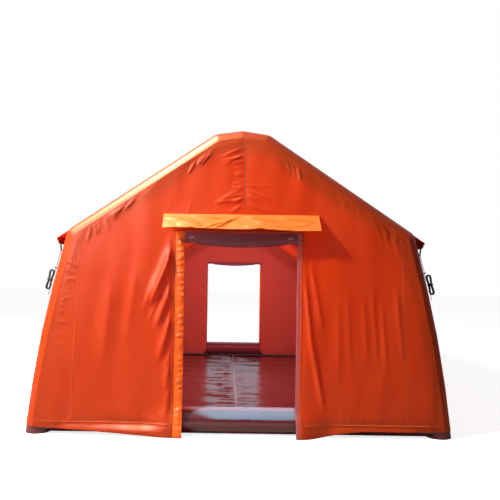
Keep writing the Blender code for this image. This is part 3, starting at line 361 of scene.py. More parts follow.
def finer(points, steps):
    """Points on a smooth curve through the given ones, with steps between each two."""
    knots = [Vector(point) for point in points]
    found = []
    for i in range(len(knots) - 1):
        before = knots[max(i - 1, 0)]
        after = knots[min(i + 2, len(knots) - 1)]
        slope_a = (knots[i + 1] - before) / 2
        slope_b = (after - knots[i]) / 2
        for k in range(steps):
            t = k / steps
            found.append(
                knots[i] * (2 * t**3 - 3 * t**2 + 1)
                + slope_a * (t**3 - 2 * t**2 + t)
                + knots[i + 1] * (3 * t**2 - 2 * t**3)
                + slope_b * (t**3 - t**2)
            )
    return found + [knots[-1]]


# %% Helpers for cloth


def grid(us, vs):
    """A flat grid in X and Y with a column line at each u and a row line at each v."""
    bm = bmesh.new()
    columns = len(us) - 1
    rows = len(vs) - 1
    bmesh.ops.create_grid(bm, x_segments=columns, y_segments=rows, size=1)
    for vert in bm.verts:
        column = round((vert.co.x + 1) / 2 * columns)
        row = round((vert.co.y + 1) / 2 * rows)
        vert.co = (us[column], vs[row], 0)
    return bm


def lay_uv(bm):
    """Keeps each point's flat place, in metres, as the cloth's UV map."""
    layer = bm.loops.layers.uv.new("cloth")
    for face in bm.faces:
        for loop in face.loops:
            loop[layer].uv = loop.vert.co.xy


def cut_size(bm):
    """A flat cloth's width and height, and its area, before it is hung."""
    flat = np.array([vert.co[:2] for vert in bm.verts])
    size = flat.max(axis=0) - flat.min(axis=0)
    area = sum(face.calc_area() for face in bm.faces)
    return tuple(round(float(value), 2) for value in size), round(area, 2)


def shape(bm, place):
    """Moves every point of a flat cloth: place takes and gives arrays of coordinates."""
    flat = np.array([vert.co[:2] for vert in bm.verts])
    for vert, point in zip(bm.verts, np.stack(place(flat[:, 0], flat[:, 1]), axis=1)):
        vert.co = point


def face_towards(bm, direction):
    """Turns an open sheet so that its largest face looks along a direction."""
    bmesh.ops.recalc_face_normals(bm, faces=bm.faces)
    largest = max(bm.faces, key=lambda face: face.calc_area())
    if largest.normal.dot(Vector(direction)) < 0:
        bmesh.ops.reverse_faces(bm, faces=bm.faces)


def turned_to(place):
    """Matrix that takes what is built for the front to its end of the tent."""
    return Matrix.Rotation(math.pi if place == "rear" else 0.0, 4, "Z")


def hang(bm, place, towards, end="front"):
    """Lays a flat cloth's UV map, hangs the cloth and turns it to its end of the tent."""
    lay_uv(bm)
    shape(bm, place)
    face_towards(bm, towards)
    bm.transform(turned_to(end))


def piece(name, bm, finish, body="tent", stands_for=()):
    """Stores a bmesh as a finished piece that rides on a body of the frame."""
    mesh = bpy.data.meshes.new(name)
    bm.to_mesh(mesh)
    bm.free()
    mesh.shade_smooth()
    made = bpy.data.objects.new(name, mesh)
    bpy.context.scene.collection.objects.link(made)
    mesh.materials.append(finish)
    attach(made, body)
    if stands_for:
        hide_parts(*stands_for)
    return made


def thicken(made, thickness=CLOTH_T, offset=1.0):
    """Gives an open cloth its thickness."""
    wall = made.modifiers.new("thickness", "SOLIDIFY")
    wall.thickness = thickness
    wall.offset = offset
    wall.use_even_offset = False
    wall.use_rim = True
    return made


def sharpen(made, degrees=40):
    """Keeps the edges of a hard piece crisp."""
    made.data.set_sharp_from_angle(angle=math.radians(degrees))
    return made


# %% [markdown]
# ## Finishes
#
# A material is a small sum: a colour that drifts a little, a weave that only
# lifts the surface, and the gloss of the coating. Writing that sum with + and *
# is easier to read than a list of nodes, so a small class wraps a socket and
# adds the Math nodes itself. All patterns read the cloth's own UV map, which is
# in metres, so a weave keeps its real scale on every panel.

# %% A socket that does sums


class Signal:
    """One socket of a node tree, which answers to + - * / with Math nodes."""

    def __init__(self, nodes, socket):
        self.nodes = nodes
        self.socket = socket

    def sum(self, operation, first, second):
        made = self.nodes.add("ShaderNodeMath", {"operation": operation}, {0: first, 1: second})
        return made["Value"]

    def __add__(self, other):
        return self.sum("ADD", self, other)

    def __radd__(self, other):
        return self.sum("ADD", other, self)

    def __sub__(self, other):
        return self.sum("SUBTRACT", self, other)

    def __rsub__(self, other):
        return self.sum("SUBTRACT", other, self)

    def __mul__(self, other):
        return self.sum("MULTIPLY", self, other)

    def __rmul__(self, other):
        return self.sum("MULTIPLY", other, self)

    def __truediv__(self, other):
        return self.sum("DIVIDE", self, other)

    def __pow__(self, other):
        return self.sum("POWER", self, other)


class Nodes:
    """A node tree, to which every node is added in the same way."""

    def __init__(self, tree):
        self.tree = tree

    def add(self, kind, settings, inputs):
        """Adds a node: first its settings, then the values or links of its sockets."""
        node = self.tree.nodes.new(kind)
        for setting, value in settings.items():
            setattr(node, setting, value)
        for socket, value in inputs.items():
            if isinstance(value, Signal):
                self.link(value, node.inputs[socket])
            else:
                node.inputs[socket].default_value = value
        made = {output.name: Signal(self, output) for output in node.outputs}
        made.update({number: Signal(self, output) for number, output in enumerate(node.outputs)})
        return made

    def link(self, signal, socket):
        """Leads a signal into a socket of a node that is there already."""
        self.tree.links.new(signal.socket, socket)


class Finish(Nodes):
    """A material with one shader, built up from nodes and sums."""

    def __init__(self, name, colour, roughness, **fixed):
        self.material = bpy.data.materials.new(name)
        self.material.use_nodes = True
        super().__init__(self.material.node_tree)
        self.shader = self.tree.nodes["Principled BSDF"]
        self.output = self.tree.nodes["Material Output"]
        self.shader.inputs["Base Color"].default_value = (*colour, 1)
        self.shader.inputs["Roughness"].default_value = roughness
        for socket, value in fixed.items():
            self.shader.inputs[socket.replace("_", " ")].default_value = value
        self.material.diffuse_color = (*colour, 1)

    def cloth_place(self):
        """The cloth's own flat coordinates, in metres."""
        return self.add("ShaderNodeUVMap", {"uv_map": "cloth"}, {})["UV"]

    def object_place(self):
        """The point's place on the tent, in metres."""
        return self.add("ShaderNodeTexCoord", {}, {})["Object"]

    def stretched(self, place, scale):
        """Coordinates scaled by a different amount along each axis."""
        return self.add("ShaderNodeMapping", {}, {"Vector": place, "Scale": scale})["Vector"]

    def noise(self, place, scale, detail=3.0):
        """Cloudy noise about 0.5."""
        inputs = {"Vector": place, "Scale": scale, "Detail": detail}
        return self.add("ShaderNodeTexNoise", {}, inputs)["Fac"]

    def bands(self, place, scale, direction):
        """Even ribs across one direction."""
        settings = {"wave_type": "BANDS", "bands_direction": direction}
        return self.add("ShaderNodeTexWave", settings, {"Vector": place, "Scale": scale})["Fac"]

    def ramp(self, signal, low, high):
        """Rises from 0 to 1 while a signal goes from low to high."""
        settings = {"interpolation_type": "SMOOTHSTEP"}
        inputs = {"Value": signal, "From Min": low, "From Max": high}
        return self.add("ShaderNodeMapRange", settings, inputs)["Result"]

    def mixed(self, share, first, second):
        """Two colours mixed by a share."""
        pair = [c if isinstance(c, Signal) else (*c, 1) for c in (first, second)]
        inputs = {0: share, 6: pair[0], 7: pair[1]}
        return self.add("ShaderNodeMix", {"data_type": "RGBA"}, inputs)[2]

    def colour(self, signal):
        """Sets the colour from a signal."""
        self.link(signal, self.shader.inputs["Base Color"])

    def roughness(self, signal):
        """Sets the roughness from a signal."""
        self.link(signal, self.shader.inputs["Roughness"])

    def relief(self, height, distance, strength):
        """Lifts the surface by a height signal, in metres at a signal of 1."""
        inputs = {"Height": height, "Distance": distance, "Strength": strength}
        bump = self.add("ShaderNodeBump", {}, inputs)
        self.link(bump["Normal"], self.shader.inputs["Normal"])

    def let_light_through(self, colour, share):
        """Mixes in light that comes through from the other side of the cloth."""
        glow = self.add("ShaderNodeBsdfTranslucent", {}, {"Color": (*colour, 1)})[0]
        cloth = Signal(self, self.shader.outputs[0])
        mix = self.add("ShaderNodeMixShader", {}, {0: share, 1: cloth, 2: glow})[0]
        self.link(mix, self.output.inputs["Surface"])


def linear(red, green, blue):
    """Linear colour of an 8-bit display colour."""
    values = [value / 255 for value in (red, green, blue)]
    return tuple(v / 12.92 if v <= 0.04045 else ((v + 0.055) / 1.055) ** 2.4 for v in values)


print("sums on sockets are ready")

# %% [markdown]
# Tent cloth is polyester with a thin shiny coating. Seen from a step away it
# has three scales: the weave under a millimetre, soft vertical streaks where
# the panel hangs, and slow patches where the coating is a little thinner.

# %% Coated cloth
WEAVE_SCALE = 160.0
CLOTH_RELIEF = 0.0035


def coated_cloth(name, colour, dark, roughness, glow, share, **fixed):
    """Woven cloth with a coating: weave, hanging streaks and patches."""
    finish = Finish(name, colour, roughness, **fixed)
    place = finish.cloth_place()
    patches = finish.noise(place, 1.7, 4.0)
    flecks = finish.noise(place, 60.0, 2.0)
    finish.colour(finish.mixed(patches * 0.8 + flecks * 0.2, dark, colour))
    finish.roughness(patches * 0.12 + (roughness - 0.06))
    weave = finish.bands(place, WEAVE_SCALE, "X") * finish.bands(place, WEAVE_SCALE, "Y")
    hanging = finish.noise(finish.stretched(place, (14.0, 1.6, 1.0)), 1.0, 3.0)
    creases = finish.noise(place, 9.0, 5.0)
    height = weave * 0.03 + hanging * 0.5 + creases * 0.5
    finish.relief(height, CLOTH_RELIEF, 0.6)
    finish.let_light_through(glow, share)
    return finish.material


ORANGE = linear(204, 70, 6)
ORANGE_DARK = linear(190, 56, 6)
ORANGE_GLOW = linear(255, 110, 40)
DULL = {"Specular_IOR_Level": 0.35}
cover_cloth = coated_cloth("cover_cloth", ORANGE, ORANGE_DARK, 0.42, ORANGE_GLOW, 0.3, **DULL)
# Painted highlight: the rain flap is the cover's cloth, its colour painted lighter and yellower
# where the sun strikes it
sunlit_awning_cloth = coated_cloth(
    "sunlit_awning_cloth", linear(250, 130, 34), linear(238, 104, 24), 0.42, ORANGE_GLOW, 0.15, **DULL
)
strip_cloth = coated_cloth(
    "strip_cloth", linear(252, 118, 24), linear(238, 92, 16), 0.42, ORANGE_GLOW, 0.2, **DULL
)
edge_cloth = coated_cloth(
    "edge_cloth", linear(196, 112, 118), linear(176, 92, 100), 0.5, linear(220, 110, 110), 0.35
)
liner_cloth = coated_cloth(
    "liner_cloth", linear(184, 78, 68), linear(172, 68, 60), 0.55, linear(240, 110, 90), 0.45
)
curtain_cloth = coated_cloth(
    "curtain_cloth", linear(168, 84, 104), linear(138, 62, 84), 0.5, linear(190, 70, 100), 0.3
)
print("cloth finishes made")

# %% [markdown]
# The beams and the floor are heavier coated cloth. Air holds the beams tight,
# so they shine, with only shallow dents and fine scuffs in the coating.

# %% Beams and floor
FOOT_TOP = 0.32
BEAM_RELIEF = 0.0012


def air_skin(name, colour, dark, roughness, foot=None, painted_sun_patch=None, **fixed):
    """The tight skin of an air beam; foot and worn are the colours of two patches.

    The foot patch reaches up to knee height. The second patch is painted light:
    sunlight and the sky's reflection on top of a beam on the ground, in the doorway.
    """
    finish = Finish(name, colour, roughness, **fixed)
    place = finish.object_place()
    patches = finish.noise(place, 2.3, 4.0)
    scuffs = finish.noise(place, 38.0, 5.0)
    base = finish.mixed(patches * 0.7 + scuffs * 0.3, dark, colour)
    if foot:
        inputs = {0: finish.add("ShaderNodeSeparateXYZ", {}, {"Vector": place})["Z"], 1: FOOT_TOP}
        patch = finish.add("ShaderNodeMath", {"operation": "LESS_THAN"}, inputs)["Value"]
        base = finish.mixed(patch, base, foot)
    # Painted light: a pale patch on the beam's top stands for sunlight and the sky's reflection,
    # its left edge where the wall's shadow falls
    if painted_sun_patch:
        axes = finish.add("ShaderNodeSeparateXYZ", {}, {"Vector": place})
        ragged = scuffs * 0.10 + finish.noise(place, 3.0) * 0.08
        inwards = finish.ramp(axes["X"] + axes["Z"] * 3.0 + ragged, 0.26, 0.44)
        inwards = inwards * finish.ramp(axes["X"] + ragged, 0.68, 0.60)
        patch = finish.ramp(axes["Z"] + ragged * 0.12, 0.166, 0.185) * inwards
        base = finish.mixed(patch, base, painted_sun_patch)
    finish.colour(base)
    finish.roughness(patches * 0.12 + scuffs * 0.08 + (roughness - 0.1))
    finish.relief(finish.noise(place, 7.0, 3.0) + scuffs * 0.15, BEAM_RELIEF, 0.6)
    return finish.material


MAROON = linear(98, 34, 44)
arch_skin = air_skin("arch_skin", linear(196, 60, 34), linear(176, 48, 28), 0.36, MAROON)
GLOSSY = {"Coat_Weight": 0.5, "Coat_Roughness": 0.12}
ground_skin = air_skin("ground_skin", MAROON, linear(84, 26, 36), 0.24, **GLOSSY)
# The doorway beam's top gets a painted sunlit patch: pale blue for sunlight and the sky's
# reflection
PAINTED_SUN_BLUE = linear(112, 132, 156)
sunlit_step_skin = air_skin("sunlit_step_skin", MAROON, linear(84, 26, 36), 0.24, painted_sun_patch=PAINTED_SUN_BLUE, **GLOSSY)


def floor_finish():
    """Glossy floor cloth, pulled into fine creases."""
    finish = Finish("floor_cloth", linear(72, 28, 34), 0.25, Coat_Weight=0.6, Coat_Roughness=0.15)
    place = finish.cloth_place()
    patches = finish.noise(place, 2.0, 4.0)
    finish.colour(finish.mixed(patches, linear(60, 24, 30), linear(82, 34, 39)))
    finish.roughness(patches * 0.16 + 0.16)
    pulled = finish.noise(finish.stretched(place, (2.2, 13.0, 1.0)), 1.0, 4.0)
    finish.relief(pulled + finish.noise(place, 22.0, 3.0) * 0.25, 0.007, 0.8)
    return finish.material


floor_cloth = floor_finish()
print("beam and floor finishes made")

# %% Webbing, cord, metal and plastic


def woven(name, colour, dark, ribs):
    """Tight woven webbing or braided cord."""
    finish = Finish(name, colour, 0.75, Sheen_Weight=0.2)
    place = finish.cloth_place()
    weave = finish.bands(place, ribs, "DIAGONAL")
    finish.colour(finish.mixed(weave * 0.6 + finish.noise(place, 90.0) * 0.4, dark, colour))
    finish.relief(weave, 0.0006, 0.7)
    return finish.material


def moulded(name, colour, dark, roughness, **fixed):
    """Moulded plastic or plain metal with fine handling marks."""
    finish = Finish(name, colour, roughness, **fixed)
    place = finish.object_place()
    marks = finish.noise(place, 120.0, 4.0)
    finish.colour(finish.mixed(marks, dark, colour))
    finish.roughness(marks * 0.2 + (roughness - 0.1))
    finish.relief(marks, 0.0002, 0.5)
    return finish.material


black_webbing = woven("black_webbing", linear(34, 30, 34), linear(16, 14, 17), 400.0)
mauve_webbing = woven("mauve_webbing", linear(158, 78, 86), linear(128, 56, 66), 400.0)
black_cord = woven("black_cord", linear(32, 27, 29), linear(14, 12, 13), 300.0)
ring_steel = moulded("ring_steel", linear(165, 165, 168), linear(140, 140, 144), 0.3, Metallic=1.0)
slider_plastic = moulded("slider_plastic", linear(30, 30, 32), linear(20, 20, 22), 0.45)
toggle_plastic = moulded("toggle_plastic", linear(232, 190, 188), linear(214, 168, 168), 0.45)
valve_plastic = moulded("valve_plastic", linear(62, 62, 66), linear(44, 44, 48), 0.42)
print("small finishes made")

# %% [markdown]
# ## The cords
#
# The guy line is a tube along the route above, with a knot at each end so
# that it can't run out of the slider or fray.

# %% Guy lines, hanks and knots


def cord_uv(bm):
    """Gives a cord its UV map from its place, which is enough for a fine braid."""
    layer = bm.loops.layers.uv.new("cloth")
    for face in bm.faces:
        for loop in face.loops:
            loop[layer].uv = (loop.vert.co.x + loop.vert.co.y, loop.vert.co.z)


def knot(name, centre, body):
    """A small overhand knot: a fat ring round the cord."""
    matrix = Matrix.Translation(centre)
    bm = bmesh.new()
    bmesh.ops.create_uvsphere(bm, u_segments=16, v_segments=10, radius=KNOT_R, matrix=matrix)
    for vert in bm.verts:
        angle = math.atan2(vert.co.y - centre.y, vert.co.x - centre.x)
        lift = 1 + 0.14 * math.sin(3 * angle + 900 * (vert.co.z - centre.z))
        vert.co = centre + (vert.co - centre) * lift
    cord_uv(bm)
    return piece(name, bm, black_cord, body)


for side, side_name in SIDES:
    body = f"front_{side_name}_guy_set"
    matrix = guy_frame(side, -GUY_Y)
    route = [matrix @ Vector(point) for point in guy_route]
    cord_path = finer(route, 3)
    bm = tube_from_rings(ring_matrices(cord_path), CORD_R, 10)
    cord_uv(bm)
    nodes = (f"{side_name}_guy_line", f"{side_name}_guy_hank")
    cord = piece(f"{side_name}_guy_cord", bm, black_cord, body, nodes)
    ends = [knot(f"{side_name}_guy_knot_{i}", route[at], body) for i, at in enumerate((0, -1))]
    print(cord.name, round(path_length(cord_path), 3), "m")

# %% [markdown]
# ## The air frame
#
# Each beam is a tube of coated cloth, welded shut and blown up until it is
# stiff. An arch is one tube with its bends welded in, so it narrows a little
# at each bend. The straight beams are welded on to the arches, so their ends
# are cut to the curve of the tube that they meet. A grid rolled into a tube
# does this well, because its two end rows can be any curve.

# %% Distance from the arch's line


def line_field(x, z):
    """Signed distance outwards from the arch's line, and the way that leads outwards."""
    nearest = np.full(x.shape, 1e9)
    beyond = np.full(x.shape, -1e9)
    out_x = np.zeros(x.shape)
    out_z = np.zeros(x.shape)
    for start, end, side in zip(ARCH_LINE, ARCH_LINE[1:], normals(ARCH_LINE)):
        run = end - start
        share = np.clip(((x - start.x) * run.x + (z - start.y) * run.y) / run.length_squared, 0, 1)
        gap_x = x - start.x - run.x * share
        gap_z = z - start.y - run.y * share
        distance = np.hypot(gap_x, gap_z)
        closer = distance < nearest
        scale = np.maximum(distance, 1e-9)
        out_x = np.where(closer, gap_x / scale, out_x)
        out_z = np.where(closer, gap_z / scale, out_z)
        nearest = np.where(closer, distance, nearest)
        beyond = np.maximum(beyond, (x - start.x) * side.x + (z - start.y) * side.y)
    sign = np.where(beyond > 0, 1.0, -1.0)
    return nearest * sign, out_x * sign, out_z * sign


def legs_x(z, distance=0.0):
    """How far out the right leg's line lies, for an array of heights."""
    line = offset_line(ARCH_LINE, distance)[RIGHT_EAVE:]
    heights = [point.y for point in line[::-1]]
    return np.interp(z, heights, [point.x for point in line[::-1]])


def rounded(line, cut):
    """The line with each corner replaced by a short curve."""
    path = [line[0]]
    for before, corner, after in zip(line, line[1:], line[2:]):
        a = corner + (before - corner).normalized() * min(cut, (before - corner).length * 0.45)
        b = corner + (after - corner).normalized() * min(cut, (after - corner).length * 0.45)
        for share in (0, 0.25, 0.5, 0.75, 1):
            path.append(a * (1 - share) ** 2 + corner * 2 * share * (1 - share) + b * share**2)
    return path + [line[-1]]


ridge_gap = line_field(np.array([0.0]), np.array([2.9]))[0]
print("a point over the ridge lies", ridge_gap.round(3), "outside the line")

# %% Arches
ARCH_PLACES = {"front": -ARCH_Y, "mid": 0.0, "rear": ARCH_Y}
TUBE_SIDES = 40
ARCH_EASE = 0.0012  # keeps the arch's skin just under the cloth's flat faces

for place, y in ARCH_PLACES.items():
    line = rounded(ARCH_LINE, 0.1)
    for end, inner in ((0, 1), (-1, -2)):
        line[end] = line[end] + (line[end] - line[inner]).normalized() * 0.06
    matrices = ring_matrices([(point.x, y, point.y) for point in line])
    bm = tube_from_rings(matrices, TUBE_R - ARCH_EASE, TUBE_SIDES)
    everything = list(bm.verts) + list(bm.edges) + list(bm.faces)
    cut = bmesh.ops.bisect_plane(
        bm, geom=everything, dist=1e-6, plane_co=(0, 0, 0), plane_no=(0, 0, -1), clear_outer=True
    )
    feet = [item for item in cut["geom_cut"] if isinstance(item, bmesh.types.BMEdge)]
    bmesh.ops.holes_fill(bm, edges=feet)
    arch = piece(f"{place}_arch_tube", bm, arch_skin, "tent", (f"{place}_arch",))
    sharpen(arch, 60)
    print(arch.name, len(arch.data.polygons), "faces")

# %% [markdown]
# The ground beams lie level, half hidden by the wall's skirt. At a corner
# three tubes meet, so the two level ones are cut at 45 degrees as well, and
# both stop at the same slanting line.

# %% Ground beams and purlins


def rolled(sides, rows):
    """A grid of turns and shares of a beam's length, which beam_piece rolls up."""
    return grid(spaced(0, 1, sides), spaced(0, 1, rows))


def beam_piece(name, bm, place, finish):
    """Bends a rolled grid to its tube, joins its long edges and closes its ends."""
    shape(bm, place)
    bmesh.ops.remove_doubles(bm, verts=bm.verts, dist=1e-5)
    bmesh.ops.holes_fill(bm, edges=[edge for edge in bm.edges if edge.is_boundary])
    bmesh.ops.recalc_face_normals(bm, faces=bm.faces)
    made = piece(name + "_tube", bm, finish, "tent", (name,))
    return sharpen(made, 60)


def lengthwise_beam(name, middle_x, middle_z, radius, finish, slot, bay, on_ground):
    """A beam along the tent between two arches, its ends fitted round them."""
    low, high = (-ARCH_Y, 0.0) if bay == "front" else (0.0, ARCH_Y)

    def place(turn, share):
        x = middle_x + radius * np.cos(turn * math.tau)
        z = np.maximum(middle_z + radius * np.sin(turn * math.tau), 0)
        off_line = line_field(x, np.maximum(z, 0.001))[0]
        reach = np.sqrt(np.maximum(TUBE_R**2 - off_line**2, 0)) + SEAT_GAP
        corner = reach
        if on_ground:
            corner = np.maximum(reach, abs(middle_x) - np.abs(x) + SEAT_GAP)
        start = low + (corner if bay == "front" else reach)
        end = high - (reach if bay == "front" else corner)
        return x, start + (end - start) * share, z

    return beam_piece(name, rolled(32, 24), place, finish)


def end_beam(place_name, finish):
    """The beam across a door, between the feet of an end arch."""
    middle_y = ARCH_PLACES[place_name]
    towards_middle = -math.copysign(1, middle_y)

    def place(turn, share):
        across = TUBE_R * np.cos(turn * math.tau)
        z = np.maximum(GROUND_BEAM_Z + TUBE_R * np.sin(turn * math.tau), 0)
        reach = np.sqrt(np.maximum(TUBE_R**2 - across**2, 0)) * 1.02 + SEAT_GAP
        reach = np.maximum(reach, across * towards_middle + SEAT_GAP)
        end = legs_x(z) - reach
        return -end + 2 * end * share, middle_y + across, z

    name = f"{place_name}_ground_beam"
    return beam_piece(name, rolled(40, 60), place, finish)


BEAM_X = leg_x(GROUND_BEAM_Z, 0)
for bay, finish in (("front", sunlit_step_skin), ("rear", ground_skin)):
    end_beam(bay, finish)
    purlin = (PURLIN_R, arch_skin, "air_beam", bay, False)
    ground = (TUBE_R, ground_skin, "ground_beam", bay, True)
    lengthwise_beam(f"{bay}_ridge_purlin", 0.0, RIDGE_Z, *purlin)
    for side, side_name in SIDES:
        lengthwise_beam(f"{bay}_{side_name}_ground_beam", side * BEAM_X, GROUND_BEAM_Z, *ground)
        lengthwise_beam(f"{bay}_{side_name}_eave_purlin", side * EAVE_HALF, EAVE_Z, *purlin)
print("ground beams lie", round(BEAM_X, 3), "m from the middle")

# %% [markdown]
# ## Folds in cloth
#
# Cloth that is stretched over a frame shows three kinds of fold. Long ridges
# run from where it is pulled, such as beside the door. Short gathers sit all
# along a seam, where the thread has drawn the cloth up. Between them the
# panel waves slightly. Each is a small height added to the flat panel, which
# is quicker than a simulation and puts each fold where the photograph has it.

# %% Ridges, gathers and waves


def ridge(x, z, start, end, width, height):
    """A rounded fold along a straight run, fading at both of its ends."""
    run_x = end[0] - start[0]
    run_z = end[1] - start[1]
    length = math.hypot(run_x, run_z)
    share = ((x - start[0]) * run_x + (z - start[1]) * run_z) / length**2
    off = ((x - start[0]) * run_z - (z - start[1]) * run_x) / length
    fade = smooth(share / 0.35 + 0.15) * smooth((1 - share) / 0.35 + 0.15)
    crest = np.exp(-(np.abs(off / width) ** 1.4))
    return height * fade * crest * (1 + 0.45 * np.tanh(off / width))


def gathers(x, z, start, end, inward, count, reach, height, seed, broad=1.0):
    """Short folds along a seam, each as long as chance makes it; broad widens them."""
    chance = random.Random(seed)
    total = np.zeros(x.shape)
    for i in range(count):
        share = (i + chance.uniform(0.1, 0.9)) / count
        foot = [start[k] + (end[k] - start[k]) * share for k in (0, 1)]
        lean = chance.uniform(-0.35, 0.35)
        length = reach * chance.uniform(0.35, 1.0)
        across = (end[0] - start[0], end[1] - start[1])
        scale = math.hypot(*across)
        tip = [foot[k] + length * (inward[k] + lean * across[k] / scale) for k in (0, 1)]
        width = broad * chance.uniform(0.007, 0.013)
        total += ridge(x, z, foot, tip, width, height * chance.uniform(0.4, 1.0))
    return total


def waves(x, z, count, least, most, upright, seed):
    """Slow waves of about unit height, longer upwards than across by a factor."""
    chance = random.Random(seed)
    total = np.zeros(x.shape)
    for _ in range(count):
        length = chance.uniform(least, most)
        angle = chance.uniform(0, math.pi)
        pull_x = math.cos(angle) * math.tau / length
        pull_z = math.sin(angle) * math.tau / (length * upright)
        total += np.sin(x * pull_x + z * pull_z + chance.uniform(0, math.tau))
    return total / math.sqrt(count)


print("three kinds of fold are ready")

# %% [markdown]
# ## End walls
#
# An end wall is cut flat, a little larger than the arch, and its edge is drawn
# back round the tube to the roof. So it starts as a flat grid, trimmed to the
# arch's outline, with the door cut out. Then every point is hung: the middle
# stays upright, and whatever lies past the tube's front line is wound round
# the tube by its own length.

# %% Where the wall's cloth goes
HEM_Z = 0.07
DOOR_HEM_Z = 0.006
HEM_RISE = 0.6
WIDE_SIDE_RISE = 1.3  # on the wide strip's side the hem climbs in one straight line
HEM_ROW = 0.11
STITCH_Z = 0.123
FLARE = 0.07
FLARE_HEIGHT = 0.36
FLARE_REACH = 0.3
BEND_AT = 0.028
BEND_EASE = 0.003
BEND_TURN = 2 * math.atan(BEND_AT / SKIN_R)
WRAP_LENGTH = 2 * BEND_AT + SKIN_R * (math.pi / 2 - BEND_TURN)
SKIRT_FLARE = 0.018
KICK = 0.035  # the hem's lowest rows kick forward on the wide strip's side
AWNING_TOP = DOOR_TOP + 0.17
AWNING_HALF = 0.735
DEEPEST_FOLD = 0.006
ROLL_CLEAR_X = 0.6
ROLL_CLEAR_Z = DOOR_TOP + 0.09


def beyond_door(x):
    """How far a place lies outside the door's border."""
    return np.abs(x) - np.where(x < 0, WIDE_EDGE, NARROW_EDGE) - DOOR_BORDER


def flare_height(x, z):
    """How far the wall's foot stands forward, most of all beside the door."""
    beside = 1 - smooth(beyond_door(x) / FLARE_REACH)
    kick = KICK * (1 - smooth(beyond_door(x) / 0.95)) * np.where(x < 0, 1.0, 0.0)
    skirt = (SKIRT_FLARE + kick) * smooth((STITCH_Z - z) / 0.07)
    skirt = skirt * (1 - smooth((np.abs(x) - 1.6) / 0.15))
    return FLARE * beside * smooth(1 - z / FLARE_HEIGHT) + skirt * (1 - beside)


def hem_height(x):
    """Height of the wall's hem: low beside the door, higher towards the legs."""
    off_door = np.abs(x) - WIDE_EDGE
    climb = np.where(x < 0, np.clip(off_door / WIDE_SIDE_RISE, 0, 1), smooth(off_door / HEM_RISE))
    return DOOR_HEM_Z + (HEM_Z - DOOR_HEM_Z) * climb


# Each fold runs from a top point to a bottom point (x, z), with a width and a height
LONG_FOLDS = (
    ((-0.600, 1.86), (-0.860, 1.22), 0.040, 0.050),
    ((-0.612, 1.52), (-0.800, 1.02), 0.030, 0.030),
    ((-0.612, 1.26), (-0.765, 0.72), 0.026, 0.028),
    ((-0.607, 0.98), (-0.700, 0.44), 0.024, 0.022),
    ((-0.600, 0.70), (-0.690, 0.18), 0.024, 0.016),
    ((-0.700, 1.48), (-0.880, 1.05), 0.014, 0.008),
    ((-0.80, 1.56), (-0.90, 1.22), 0.012, 0.007),
    ((-0.84, 1.46), (-0.92, 1.18), 0.010, 0.006),
    ((-0.98, 1.62), (-1.08, 0.84), 0.050, 0.008),
    ((-1.22, 1.50), (-1.30, 0.60), 0.060, 0.008),
    ((0.600, 1.62), (0.688, 0.86), 0.016, 0.020),
    ((0.655, 1.04), (0.815, 0.24), 0.020, 0.022),
    ((0.660, 1.70), (0.800, 0.96), 0.024, 0.013),
    ((0.93, 1.34), (0.95, 0.50), 0.026, 0.006),
    ((1.02, 1.40), (1.06, 0.60), 0.024, 0.006),
    ((1.16, 1.38), (1.22, 0.72), 0.024, 0.006),
    ((1.25, 1.45), (1.31, 0.70), 0.022, 0.009),
    ((1.34, 1.35), (1.40, 0.60), 0.022, 0.009),
    ((1.47, 1.50), (1.56, 0.70), 0.020, 0.008),
)
# Drawn-up cloth: start and end of the seam, the way inwards, count, reach, height
WALL_GATHERS = (
    ((-1.46, 2.00), (-1.16, 2.18), (0.05, -1.0), 6, 0.20, 0.008),
    ((-1.22, 2.14), (-0.95, 2.30), (-0.55, -0.84), 5, 0.16, 0.009),
    ((-0.46, 2.60), (-0.28, 2.71), (-0.60, -0.80), 4, 0.18, 0.009),
    ((0.40, 2.64), (0.54, 2.56), (0.35, -0.94), 3, 0.20, 0.010),
    ((0.90, 2.34), (1.10, 2.23), (0.28, -0.96), 5, 0.20, 0.008),
    ((1.20, 2.15), (1.54, 1.90), (0.30, -0.95), 7, 0.34, 0.012),
    ((0.02, 2.76), (0.02, 2.58), (-1.0, -0.32), 4, 0.28, 0.012),
    ((0.02, 2.40), (0.02, 2.20), (-1.0, -0.34), 6, 0.32, 0.012),
    ((0.02, 2.60), (0.02, 2.36), (-1.0, -0.06), 12, 0.13, 0.005),
    ((0.04, 2.44), (0.04, 2.20), (1.0, -0.30), 8, 0.30, 0.007),
    ((0.04, 2.74), (0.04, 2.50), (1.0, -0.10), 6, 0.20, 0.003),
    ((-1.62, 1.80), (-1.78, 0.80), (1.0, -0.30), 18, 0.11, 0.006),
    ((1.56, 1.70), (1.66, 0.80), (-1.0, 0.30), 12, 0.12, 0.004),
    ((-1.80, 0.13), (-1.60, 0.13), (0.75, 0.40), 5, 0.12, 0.007),
    ((-1.20, 0.13), (-0.66, 0.13), (-0.62, 0.78), 7, 0.17, 0.010),
    ((0.62, 0.15), (1.60, 0.15), (-0.20, 0.98), 10, 0.12, 0.005),
    ((-0.64, 1.90), (-0.64, 0.30), (-0.55, -0.83), 16, 0.16, 0.009),
    ((0.60, 1.80), (0.60, 0.30), (0.45, -0.90), 12, 0.16, 0.006),
    ((-0.75, 2.13), (0.75, 2.13), (0.1, 1.0), 16, 0.10, 0.004),
)


